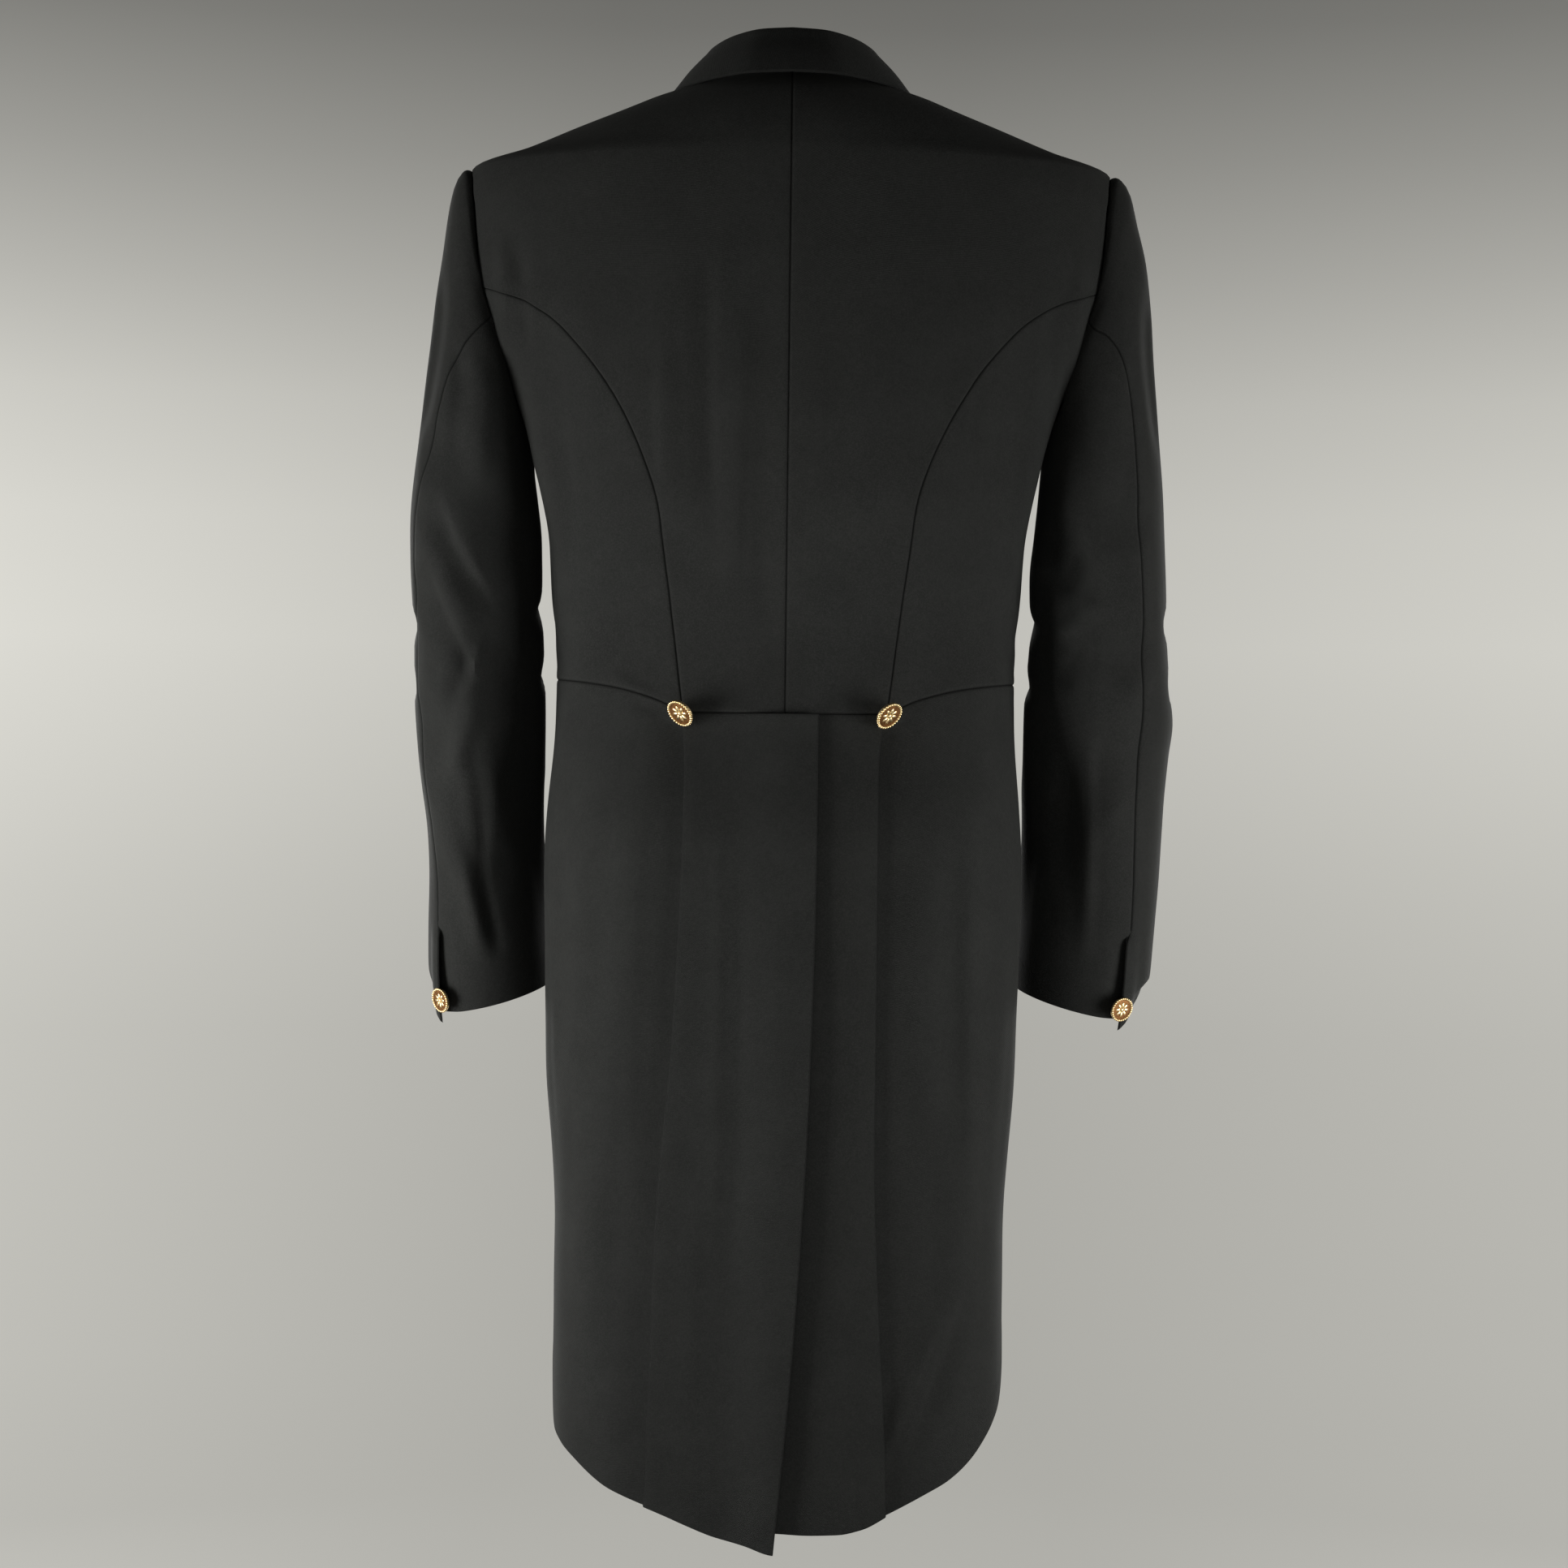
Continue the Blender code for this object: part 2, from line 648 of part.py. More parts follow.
def build_skirts(side_low, front_low):
    """Skirts from the side pleat round to the cutaway front edge."""
    rows = SKIRT_ROWS
    for side, name in ((1, "skirt_left"), (-1, "skirt_right")):
        waist = [tuple(p) for p in side_low] + [tuple(p) for p in front_low[1:]]
        waist_tuck = (pleat_angle(side, WAIST_BACK, HOW_FAR_TUCKED), WAIST_BACK)
        top = [waist_tuck] + waist
        start_x = pleat_hem_x(side)
        hem = [(x, z) for x, z in HEM[side] if x > start_x + 3]
        low = [(angle_at(x, z), z) for x, z in [(start_x, hem_z(side, start_x))] + hem]
        low += [CUTAWAY_START[side]] + [tuple(p) for p in CUTAWAY[:CUTAWAY_CORNER]]
        low = evenly(low, len(top) - 2)
        tuck_z = low[0][1] + 2
        low = [(pleat_angle(side, tuck_z, HOW_FAR_TUCKED), tuck_z)] + low
        front = list(reversed(CUTAWAY[CUTAWAY_CORNER - 1:]))
        front[0] = tuple(front_low[-1])
        last = evenly(front, rows)
        first = []
        for i in range(rows + 1):
            z = WAIST_BACK + (tuck_z - WAIST_BACK) * i / rows
            first.append((pleat_angle(side, z, HOW_FAR_TUCKED), z))
        low[-1] = last[-1]
        grid = coons(top, low, first, last)

        def rise(angle, z, i, j, side=side):
            x = bare(angle, z)[0]
            sunk = 0.0
            if angle > 5:
                sunk = SKIRT_SINK * (1 - step(x - smooth(PLEAT[side], z), 0, SKIRT_EASE))
            lap = 0.0
            if side > 0:
                lap = step(-angle, *FRONT_LAP_ANGLES) * (1 - step(-z, *FRONT_LAP_END))
            return FRONT_LAP * lap - sunk

        panel(name, side, grid, rise)


def build_collar():
    """Stand and fall in one: a hairpin section carried round the neck."""
    section = 9
    table = []
    for base, fold, edge in COLLAR:
        table.append(base + fold + edge)
    count = 28
    stations = np.linspace(-(len(COLLAR) - 1), len(COLLAR) - 1, count + 1)
    rows = []
    for at in stations:
        numbered = [(k,) + row for k, row in enumerate(table)]
        values = [smooth(numbered, abs(at), column) for column in range(1, 10)]
        base, fold, edge = (np.array(values[k:k + 3]) for k in (0, 3, 6))
        flip = np.array((1 if at >= 0 else -1, 1, 1))
        out = unit(edge - base)
        lift = np.array((0, 0, 1.0))
        points = []
        for q in np.linspace(0, 1, 4)[:-1]:
            points.append(base + (fold - base) * q - out * 1.5 * math.sin(math.pi * q))
        points.append(fold - out * 0.5 - lift * 1.2)
        points.append(fold + out * 1.6 + lift * 0.6)
        points.append(fold + out * 4.8 - lift * 1.0)
        for q in np.linspace(0.28, 1, section - 5):
            sag = 2.5 * math.sin(math.pi * q)
            points.append(fold + (edge - fold) * q + lift * sag + out * sag * 0.6)
        rows.append([p * flip for p in points])
    grid = np.array(rows)
    across = np.gradient(grid, axis=1)
    along = np.gradient(grid, axis=0)
    normals = unit(np.cross(along, across))
    wall("collar", grid, normals, WALL * 0.9)


def loop_samples(side):
    """The armhole loop as (points, normals), starting at the shoulder tip and going down the back."""
    loop = list(ARMHOLE_BACK) + list(ARMHOLE_LOW[1:]) + list(reversed(ARMHOLE_FRONT))[1:-1]
    pairs = [form(side, angle, z) for angle, z in loop]
    return np.array([p for p, _ in pairs]), np.array([n for _, n in pairs])


def sleeve_fold(side, z, angle, radius):
    total = 0.0
    for which, z_a, a_a, z_b, a_b, half, height in SLEEVE_FOLDS:
        if which != side:
            continue
        start = np.array((z_a, math.radians(a_a) * radius))
        end = np.array((z_b, math.radians(a_b) * radius))
        here = np.array((z, math.radians(angle) * radius))
        line = end - start
        t = np.clip(np.dot(here - start, line) / np.dot(line, line), 0, 1)
        away = np.linalg.norm(here - start - line * t) / half
        total += height * bump(away / 1.3)
    return total


def body_side(side, y, z):
    """How far out the body form reaches at this y and z."""
    _, back, front, power, middle = ring(z)
    depth = back - middle if y > middle else front + middle
    ratio = abs(y - middle) / depth
    if ratio >= 1:
        return 0.0
    angle = math.degrees(math.asin(ratio ** (power / 2)))
    point, _ = form(side, angle if y > middle else -angle, z)
    return abs(point[0])


def sleeve_surface(side):
    """Closed rings of points and normals from the armhole to the cuff, one column a loop sample."""
    loop, loop_normals = loop_samples(side)
    mirrored = loop * np.array((side, 1, 1))
    tip, low = mirrored[0], mirrored[len(ARMHOLE_BACK) + len(ARMHOLE_LOW) - 2]
    centre = (tip + low) / 2
    half = np.linalg.norm(tip - low) / 2
    axis = (tip - low) / (2 * half)
    depth = smooth(SLEEVE_DEPTH, centre[2], 2)
    relative = mirrored - centre
    along = relative @ axis / half
    across = relative[:, 1] / depth
    flat = relative - np.outer(relative @ axis, axis) - np.outer(relative[:, 1], (0, 1, 0))
    angles = np.degrees(np.unwrap(np.arctan2(across, along)))
    radii = np.hypot(along, across)
    count = len(loop)
    back_at = SLEEVE_TOP_BACK
    front_at = count - SLEEVE_TOP_FRONT
    rings = [loop]
    for index, (blend, z_out, z_in) in enumerate(SLEEVE_RINGS):
        x_out = smooth(SLEEVE[side], z_out)
        x_in = smooth(SLEEVE[side], z_in, 2)
        if index < len(HEAD_X[side]):
            x_out = HEAD_X[side][index]
        outer = np.array((x_out, 0, z_out))
        inner = np.array((x_in, 0, z_in))
        middle = (outer + inner) / 2
        z_mid = middle[2]
        middle[1] = smooth(SLEEVE_DEPTH, z_mid)
        reach = (outer - inner) / 2
        deep = smooth(SLEEVE_DEPTH, z_mid, 2)
        fall = smooth(SLEEVE_DEPTH, z_mid, 3)
        back_seam = smooth(BACK_SEAM[side], z_mid)
        front_seam = smooth(FRONT_SEAM, z_mid)
        ring_points = []
        for c in range(count):
            if back_at <= c <= front_at:
                span = (c - back_at) / (front_at - back_at)
                target = back_seam + (front_seam - back_seam) * span
            else:
                turned = c + count if c < back_at else c
                span = (turned - front_at) / (count + back_at - front_at)
                target = front_seam + (360 + back_seam - front_seam) * span
                if c < back_at:
                    target -= 360
            angle = angles[c] + (target - angles[c]) * step(blend, 0, 1)
            radius = 1 + (radii[c] - 1) * (1 - blend)
            ca = math.cos(math.radians(angle)) * radius
            sa = math.sin(math.radians(angle)) * radius
            z_here = middle[2] + reach[2] * ca
            push = sleeve_fold(side, z_here, angle % 360, 48) * step(blend, 0.5, 1)
            puff = HEAD_PUFF * bump((index - 0.8) / 4) * step(ca, -0.3, 0.6)
            point = middle + reach * ca + np.array((0, deep * sa, -fall * deep * sa))
            point += flat[c] * (1 - blend) * (1 - blend)
            out = np.array((reach[0] * ca, deep * sa, reach[2] * ca * 0.4))
            point += unit(out) * push + np.array((puff, 0, 0)) * (1 - blend)
            point[0] = max(point[0], body_side(side, point[1], point[2]) + SLEEVE_CLEAR)
            ring_points.append(point * np.array((side, 1, 1)))
        rings.append(ring_points)
    rings = np.array([np.array(r) for r in rings])
    wrapped = np.concatenate([rings[:, -1:], rings, rings[:, :1]], axis=1)
    round_it = (wrapped[:, 2:] - wrapped[:, :-2]) / 2
    down = np.gradient(rings, axis=0)
    normals = unit(np.cross(down, round_it)) * side
    normals[0] = unit(loop_normals + normals[1] * 0.2)
    return rings, normals, back_at, front_at


def build_sleeves():
    cuffs = {}
    for side, word in ((1, "left"), (-1, "right")):
        rings, normals, back_at, front_at = sleeve_surface(side)
        count = rings.shape[1]
        top_columns = list(range(back_at, -1, -1)) + list(range(count - 1, front_at - 1, -1))
        under_columns = list(range(back_at, front_at + 1))
        top = rings[:, top_columns].copy()
        top_normals = normals[:, top_columns].copy()
        under = rings[:, under_columns].copy()
        under_normals = normals[:, under_columns]
        # At the cuff vent the top sleeve runs on over the under sleeve and ends in a point.
        toward = unit(under[:, 1] - under[:, 0])
        for row in range(1, VENT_ROWS + 2):
            past = VENT_LAP * step(VENT_ROWS + 1 - row, 0, 2)
            up = top_normals[-row, 0] * VENT_RISE
            top[-row, 1] = top[-row, 0] + (top[-row, 1] - top[-row, 0]) * VENT_NARROW + up
            top_normals[-row, 1] = top_normals[-row, 0]
            top[-row, 0] += toward[-row] * past + up
        top[-1, 0] += np.array((0, 0, -VENT_POINT))
        wall("sleeve_top_" + word, inset(top, top_normals), top_normals)
        wall("sleeve_under_" + word, inset(under, under_normals), under_normals)
        # The button sits on the middle of the flap's last stretch.
        cuffs[side] = (top[-2:, :2].reshape(-1, 3).mean(axis=0), top_normals[-2, 0])
    return cuffs


def build_button(name, centre, facing, diameter, shank):
    """Shank button: a beaded-edge disc round a recess and a low dome, turned about its axis."""
    r = diameter / 2
    profile = (
        (0, -shank), (BUTTON_SHANK_RADIUS, -shank), (BUTTON_SHANK_RADIUS, -0.6), (r * 0.86, 0),
        (r, 1.0), (r, 2.0),
        (r * 0.93, 2.9), (r * 0.8, 2.7), (r * 0.74, 1.9), (r * 0.55, 2.2), (r * 0.3, 2.9), (0, 3.2),
    )
    mesh_edit = bmesh.new()
    points = [mesh_edit.verts.new((x, 0, z)) for x, z in profile]
    edges = [mesh_edit.edges.new(pair) for pair in zip(points, points[1:])]
    bmesh.ops.spin(
        mesh_edit, geom=points + edges, cent=(0, 0, 0), axis=(0, 0, 1),
        angle=math.tau, steps=BUTTON_SEGMENTS, use_merge=True,
    )
    bmesh.ops.remove_doubles(mesh_edit, verts=mesh_edit.verts, dist=0.001)
    facing = unit(np.array(facing, float))
    side = unit(np.cross((0.0, 0.0, 1.0), facing))
    up = np.cross(facing, side)
    for vert in mesh_edit.verts:
        x, y, z = vert.co
        vert.co = centre + side * x + up * y + facing * z
    bmesh.ops.triangulate(mesh_edit, faces=mesh_edit.faces)
    finish(name, mesh_edit, GOLD)


def build_buttons(cuffs):
    droop = math.radians(HIP_BUTTON_DROOP)
    for side, word in ((1, "left"), (-1, "right")):
        angle = angle_at(HIP_BUTTON_X, WAIST_BACK)
        centre, normal = form(side, angle, WAIST_BACK, PLEAT_RAISE + HIP_BUTTON_HEIGHT[side])
        out = np.array((side * 0.62, 0, -0.78))
        facing = normal * math.cos(droop) + out * math.sin(droop)
        build_button("hip_button_" + word, centre, facing, HIP_BUTTON_DIAMETER, HIP_SHANK)
        base, normal = cuffs[side]
        centre = base + normal * CUFF_BUTTON_HEIGHT
        build_button("cuff_button_" + word, centre, normal, CUFF_BUTTON_DIAMETER, CUFF_SHANK)
    angle = front_angle_at(0, FRONT_BUTTON_Z)
    centre, normal = form(1, angle, FRONT_BUTTON_Z, FRONT_LAP + FRONT_BUTTON_HEIGHT)
    build_button("front_button", centre, normal, HIP_BUTTON_DIAMETER, FRONT_SHANK)


def main():
    for item in list(bpy.data.objects):
        bpy.data.objects.remove(item, do_unlink=True)
    bpy.context.scene.collection.children.link(bpy.data.collections.new("Tailcoat"))
    waist_row = build_backs()
    side_low = build_side_bodies()
    front_low = build_fronts()
    build_lapels()
    build_tails(waist_row)
    build_skirts(side_low, front_low)
    build_collar()
    cuffs = build_sleeves()
    build_buttons(cuffs)


main()
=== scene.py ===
"""Tailcoat as worn, empty inside, seen from behind. Lengths in the tables are millimetres.

+Z is up, the front faces -Y and the wearer's left is +X. Each cloth piece is a thin sheet laid on
the coat's body form, with its seams, pressed edges and creases worked into it.
"""

import functools
import math

import bmesh
import bpy
import numpy as np
from mathutils import Matrix, Vector


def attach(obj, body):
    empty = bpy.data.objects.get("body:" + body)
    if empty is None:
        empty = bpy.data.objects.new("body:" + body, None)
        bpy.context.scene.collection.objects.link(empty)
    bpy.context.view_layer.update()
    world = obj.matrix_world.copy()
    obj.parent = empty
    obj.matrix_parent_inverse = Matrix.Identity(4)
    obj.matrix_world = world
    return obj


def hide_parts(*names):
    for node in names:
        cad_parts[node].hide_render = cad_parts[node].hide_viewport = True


bl_info = {
    "name": "Tailcoat",
    "version": (1, 0, 0),
    "blender": (4, 5, 0),
    "location": "View3D > Sidebar > Tailcoat",
    "description": "Cloth, buttons and stage of a tailcoat over its fixed solids",
    "category": "Object",
}

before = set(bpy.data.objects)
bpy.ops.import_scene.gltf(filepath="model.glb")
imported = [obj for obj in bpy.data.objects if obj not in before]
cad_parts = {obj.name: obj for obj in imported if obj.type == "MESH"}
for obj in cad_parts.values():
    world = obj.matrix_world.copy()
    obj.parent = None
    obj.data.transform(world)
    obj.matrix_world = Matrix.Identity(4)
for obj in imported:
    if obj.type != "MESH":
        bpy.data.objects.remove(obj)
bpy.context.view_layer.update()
MM = 0.001

# Body form. Columns: z, half width, back depth, front depth, superellipse power, y of widest point
RINGS = (
    (10, 71, 70, 58, 2.0, 0),
    (0, 76, 74, 62, 2.0, 0),
    (-15, 113, 92, 72, 2.0, 0),
    (-35, 163, 103, 80, 2.0, 0),
    (-50, 200, 108, 85, 2.0, 0),
    (-63, 235, 111, 89, 2.0, 0),
    (-90, 243, 114, 98, 2.0, 0),
    (-150, 239, 118, 113, 2.05, 0),
    (-225, 211, 119, 122, 2.1, 1),
    (-300, 193, 112, 122, 2.2, 3),
    (-345, 181, 102, 118, 2.25, 4),
    (-420, 168, 90, 112, 2.3, 5),
    (-463, 169, 91, 112, 2.3, 7),
    (-560, 173.5, 110, 113, 2.35, 10),
    (-700, 171, 115, 112, 2.4, 12),
    (-833, 165, 113, 108, 2.4, 12),
    (-977, 164.5, 110, 106, 2.4, 12),
    (-1060, 164, 108, 105, 2.4, 12),
)

# Broad dents and swells of the form. Columns: side (0 both), x or angle of the middle at the top and
# bottom, kind ("x" across the back or "a" angle), z top, z bottom, half width, height (+ outwards)
FOLDS = (
    (0, -4, -4, "a", -168, -395, 34, -17),
    (0, 205, 186, "x", -110, -310, 26, 3.0),
    (0, 168, 152, "x", -150, -360, 24, -2.2),
    (1, 128, 138, "x", -600, -1000, 20, 3.0),
    (-1, 133, 126, "x", -640, -990, 20, 2.6),
    (1, 152, 156, "x", -470, -760, 16, -2.2),
    (-1, 150, 153, "x", -480, -740, 16, -2.4),
)

# Side-body seam. Columns: z, x
SIDE_SEAM = (
    (-153, 226.7), (-159, 210.6), (-166, 193), (-177, 176), (-195, 157), (-224, 133),
    (-259, 112.5), (-287, 100.8), (-309, 93.3), (-338, 89), (-383, 83), (-418, 78.8),
    (-447, 75), (-462, 73),
)

# Armhole on the form. Columns: angle, z
ARMHOLE_BACK = ((0, -63), (9, -67), (14.5, -75), (17.8, -90), (19, -110), (19.2, -132), (19.1, -153))
ARMHOLE_LOW = ((19.1, -153), (18.6, -172), (17, -190), (13.5, -207), (8, -220), (1, -227), (-7, -229))
ARMHOLE_FRONT = (
    (0, -63), (-9, -67.5), (-16, -77), (-22, -93), (-27, -114), (-29.5, -138), (-29, -163),
    (-25.5, -188), (-20, -207), (-14, -221), (-7, -229),
)

# Waist seam. Columns: x, z
WAIST = ((0, -463), (73, -462), (97.7, -451), (115.7, -446), (134, -442.5), (152, -440), (168, -438))
WAIST_BACK = -463.0
WAIST_SIDE_Z = -438.0
WAIST_FRONT_Z = -443.0
UNDERARM_ANGLE, UNDERARM_ANGLE_LOW = -7.0, -4.0
BACK_ROWS = (-153, -163, -179, -202, -227, -254, -283, -311, -341, -371, -401, -432, -462)
SHOULDER_ROWS = (0, -8, -19, -34, -49, -63)
NECK_RISE, NECK_EASE = 8.0, 60.0
CENTRE_BACK = 90.0

# Side pleat line, left and right. Columns: z, x
PLEAT = {
    1: ((-463, 73), (-505, 71), (-678, 76.5), (-822, 87.5), (-966, 92), (-1060, 95)),
    -1: ((-463, 71), (-505, 67), (-763, 67), (-993, 77), (-1060, 79)),
}

# Outer edge of the left tail where it laps over the right at the vent. Columns: z, x
VENT = (
    (-463, -24), (-590, -23.4), (-676, -21.6), (-763, -19), (-821, -16.3), (-936, -9), (-1058, 1.6),
)
UNDERLAP = 15.0
PLEAT_RAISE, PLEAT_WIDTH = 1.7, 22.0
VENT_STAND, VENT_STAND_MORE, VENT_EASE = 5.0, 2.5, (-4.0, 40.0)
VENT_LIFT = 2.0
WAIST_EASE = (465.0, 476.0)
UNDERLAP_SINK, UNDERLAP_EASE = 0.6, 25.0
SKIRT_SINK, SKIRT_EASE = 2.6, 30.0
HOW_FAR_TUCKED = 13.0
PLEAT_HEM_Z = -1030.0
VENT_STAND_DOWN, VENT_LIFT_DOWN = (500, 700), (600, 760)
SKIRT_TUCK_DROP, SKIRT_SINK_DOWN, SKIRT_BACK_ANGLE = 2.0, (2, 14), 5.0

# Hem behind, from the vent to the side. Columns: x, z
HEM = {
    1: (
        (-24, -1058.5), (1.8, -1058), (21, -1053), (43, -1048), (65, -1040), (87, -1031),
        (111, -1022), (126, -1015), (145, -1001), (157, -991), (163, -980),
    ),
    -1: (
        (-20, -1044), (0.4, -1044.6), (24.5, -1045.7), (44, -1045.4), (61, -1042), (80, -1032),
        (104, -1020), (124, -1010), (139, -998), (150, -985), (157, -974), (162, -960),
    ),
}

# Hem and cutaway front edge from the side to the waist. Columns: angle, z
CUTAWAY_START = {1: (2, -951), -1: (4, -934)}
CUTAWAY = (
    (-4, -906), (-10, -868), (-17, -818), (-25, -757), (-36, -690), (-49, -625), (-62, -570),
    (-74, -518), (-84, -476), (-94, -443.5),
)
CUTAWAY_CORNER = 3

# Roll line of the fronts: x at the neck point, x past the centre at the waist, z of its low end
ROLL_TOP_X = 75.0
ROLL_LOW_X = -15.0
ROLL_LOW_Z = -425.0
FRONT_ROWS = (-2, -8, -19, -34, -49, -63)
FRONT_LOW_ROWS = (-229, -262, -300, -340, -375, -408, -438)
FRONT_EASE = 400.0
FRONT_LAP = 3.2
FRONT_LAP_ANGLES = (62.0, 78.0)
FRONT_LAP_TOP = (255.0, 345.0)
FRONT_LAP_END = (470.0, 560.0)
DEGREE_MM = 2.3

# Lapels. Columns: z, width from the roll line
LAPEL = {
    1: (
        (-34, 76), (-49, 80), (-63, 80), (-93, 77), (-138, 72), (-188, 64), (-240, 52), (-300, 36),
        (-340, 24), (-375, 12), (-408, 3),
    ),
    -1: (
        (-34, 76), (-49, 80), (-63, 80), (-93, 77), (-138, 72), (-188, 63), (-229, 50), (-262, 35),
        (-300, 17), (-340, 3),
    ),
}
LAPEL_LIFT, LAPEL_BELLY, LAPEL_EDGE = 2.7, 2.4, 0.5
LAPEL_BELLY_AT, LAPEL_BELLY_HALF = 0.55, 0.625
LAPEL_TOP_Z, LAPEL_TOP_EASE = -34.0, -110.0
ROLL_RADIUS, ROLL_START, ROLL_END, ROLL_POINTS = 1.5, 0.3, 0.5, 8
ROLL_FADE = 12.0
# Top edge of a lapel, from the gorge to the peak. Columns: part of the width, z
LAPEL_TOP = ((0, -33), (0.52, -48), (1, -38))

# Collar stations from the centre back to the front end. Columns: base, fold and edge, each x, y, z
COLLAR = (
    ((0, 66, 6), (0, 61, 33), (0, 88, -3)),
    ((22.3, 63, 6), (21, 58, 32.5), (29, 84.5, -3.5)),
    ((42.6, 51.8, 5), (39, 48, 30.5), (53, 72, -5)),
    ((57.8, 36.5, 4), (52, 34, 27.5), (71.5, 53.5, -6.5)),
    ((67, 17.2, 3), (60.5, 16, 24), (84.5, 28.5, -7)),
    ((70, -3, 0), (64, -3, 19), (90.5, 2, -6.5)),
    ((69.5, -20, -5), (68, -22, 11), (97, -22, -9)),
    ((69.5, -42, -16), (69.5, -46, -4), (105, -48, -20)),
    ((66, -63, -31), (68.5, -69, -22), (111, -70, -41)),
)

# Its length and the length of its section, how many steps each has, and how far the stand bows
COLLAR_LENGTH, COLLAR_STEPS = 430.0, 110
SECTION_LENGTH, SECTION_STEPS = 78.0, 26
STAND_BOW, FALL_SAG = 1.5, 2.5
# Points of the fold, from the stand to the fall. Columns: out, up
COLLAR_FOLD = ((-0.5, -1.2), (1.6, 0.6), (4.8, -1.0))
COLLAR_UNEVEN = 0.6

# Sleeves. Columns: z, outer x, inner x
SLEEVE = {
    1: (
        (-92, 248.6, 191), (-146, 259, 191), (-213, 268, 190), (-249, 272, 189), (-285, 276, 187),
        (-309, 278.5, 184), (-345, 278.5, 180.5), (-368, 277.5, 181), (-415, 275.5, 179),
        (-451, 275, 177.5), (-477, 273.5, 177), (-513, 270, 177.5), (-537, 267, 178),
        (-572, 264.5, 177), (-596, 265, 176.5), (-626, 266, 175.5), (-650, 266, 173),
        (-690, 263, 167.5),
    ),
    -1: (
        (-92, 253.5, 191), (-140, 264, 191), (-182, 268.5, 190.5), (-230, 272, 189.5),
        (-266, 275.5, 188.5), (-314, 278.5, 184), (-362, 281, 179.5), (-399, 282.5, 180.5),
        (-440, 285.4, 178.5), (-466, 288, 177), (-482, 286, 177), (-518, 283, 177.5),
        (-560, 282, 178), (-590, 281, 178), (-620, 279.5, 177), (-650, 277.5, 174.5),
        (-690, 271.5, 171.5),
    ),
}
# Columns: z, y of the middle, half depth, fall of the ring towards the back per mm
SLEEVE_DEPTH = (
    (-60, 0, 60, 0), (-228, -3, 60, 0), (-300, -3, 60, 0), (-400, -6, 59, 0.02),
    (-470, -12, 58, 0.05), (-520, -20, 55, 0.1), (-600, -38, 50, 0.16), (-690, -62, 46, 0.19),
)
# Rings of a sleeve. Columns: blend from armhole (0) to ellipse (1), z of the outer and inner points
SLEEVE_RINGS = (
    (0.06, -64.5, -230.5), (0.2, -76, -236), (0.38, -98, -243), (0.58, -128, -253),
    (0.76, -163, -266), (0.9, -202, -284), (1, -243, -306), (1, -282, -330), (1, -318, -354),
    (1, -352, -380), (1, -384, -406), (1, -414, -431), (1, -442, -455), (1, -466, -477),
    (1, -490, -499), (1, -517, -524), (1, -548, -551), (1, -580, -579), (1, -612, -607),
    (1, -630, -623), (1, -656, -641), (1, -684, -661),
)
# The puff of the sleeve head: its middle and half length in rings, and where it starts round the arm
HEAD_PUFF, PUFF_RING, PUFF_HALF, PUFF_TURN = 3.8, 0.8, 4, (-0.3, 0.6)
HEAD_X = {1: (239.5, 245.5, 251.0), -1: (240.5, 247.5, 253.5)}
# Angle of the back seam round the sleeve, 0 outwards and 90 to the back. Columns: z, angle
BACK_SEAM = {
    1: (
        (-182, 73), (-217, 64), (-252, 52), (-293, 42), (-322, 30), (-420, 24), (-540, 30),
        (-600, 38), (-690, 40),
    ),
    -1: (
        (-171, 73), (-205, 67), (-248, 61), (-293, 58), (-400, 55), (-500, 59), (-608, 55),
        (-690, 53),
    ),
}
FRONT_SEAM = ((-182, 252), (-300, 236), (-690, 226))
SLEEVE_SEAM_AT = 7
SLEEVE_COUNT = 22
SLEEVE_CLEAR, SLEEVE_EASE = 1.1, 9.0
# Rows of the mesh between the armhole and the first ring, as parts of the way
HEAD_ROWS = (0, 0.06, 0.13, 0.23, 0.36, 0.52, 0.75)
# The rope is the low ridge of the sleeve head beside its seam
ROPE_AT, ROPE_HALF, ROPE_HEIGHT, ROPE_TURN = 4.5, 4.5, 0.7, (-0.2, 0.7)
# Rings over which the drag folds start
FOLD_RINGS = (3, 6)
# The cuff vent: its length, how far its layers lap, and how they lift and sink
VENT_LENGTH, VENT_FADE = 70.0, 10.0
VENT_LAP, UNDER_LAP, VENT_EDGE = 6.0, 8.0, 16.0
VENT_RISE, VENT_RISE_MORE, VENT_RISE_FULL = 3.2, 2.2, 0.8
UNDER_SINK, UNDER_EASE = 2.2, 20.0
# The slant of the cuff's hem beside the vent
HEM_SLANT, HEM_SLANT_OVER, HEM_SLANT_UP, HEM_SLANT_END = 27.0, 34.0, 34.0, (50, 120)
VENT_POINT = 6.0

# Drag folds of the sleeves. Columns: side, z and angle of one end, z and angle of the other,
# half width, height (+ is outwards)
SLEEVE_FOLDS = (
    (1, -275, 60, -345, 130, 24, -4.5),
    (1, -375, 50, -440, 125, 22, -4.5),
    (1, -470, 45, -570, 100, 24, -3.5),
    (-1, -240, 125, -320, 75, 22, -3.5),
    (-1, -340, 135, -415, 75, 22, -4.5),
    (-1, -475, 70, -535, 125, 22, -3.5),
)
SLEEVE_FOLD_RADIUS = 48.0

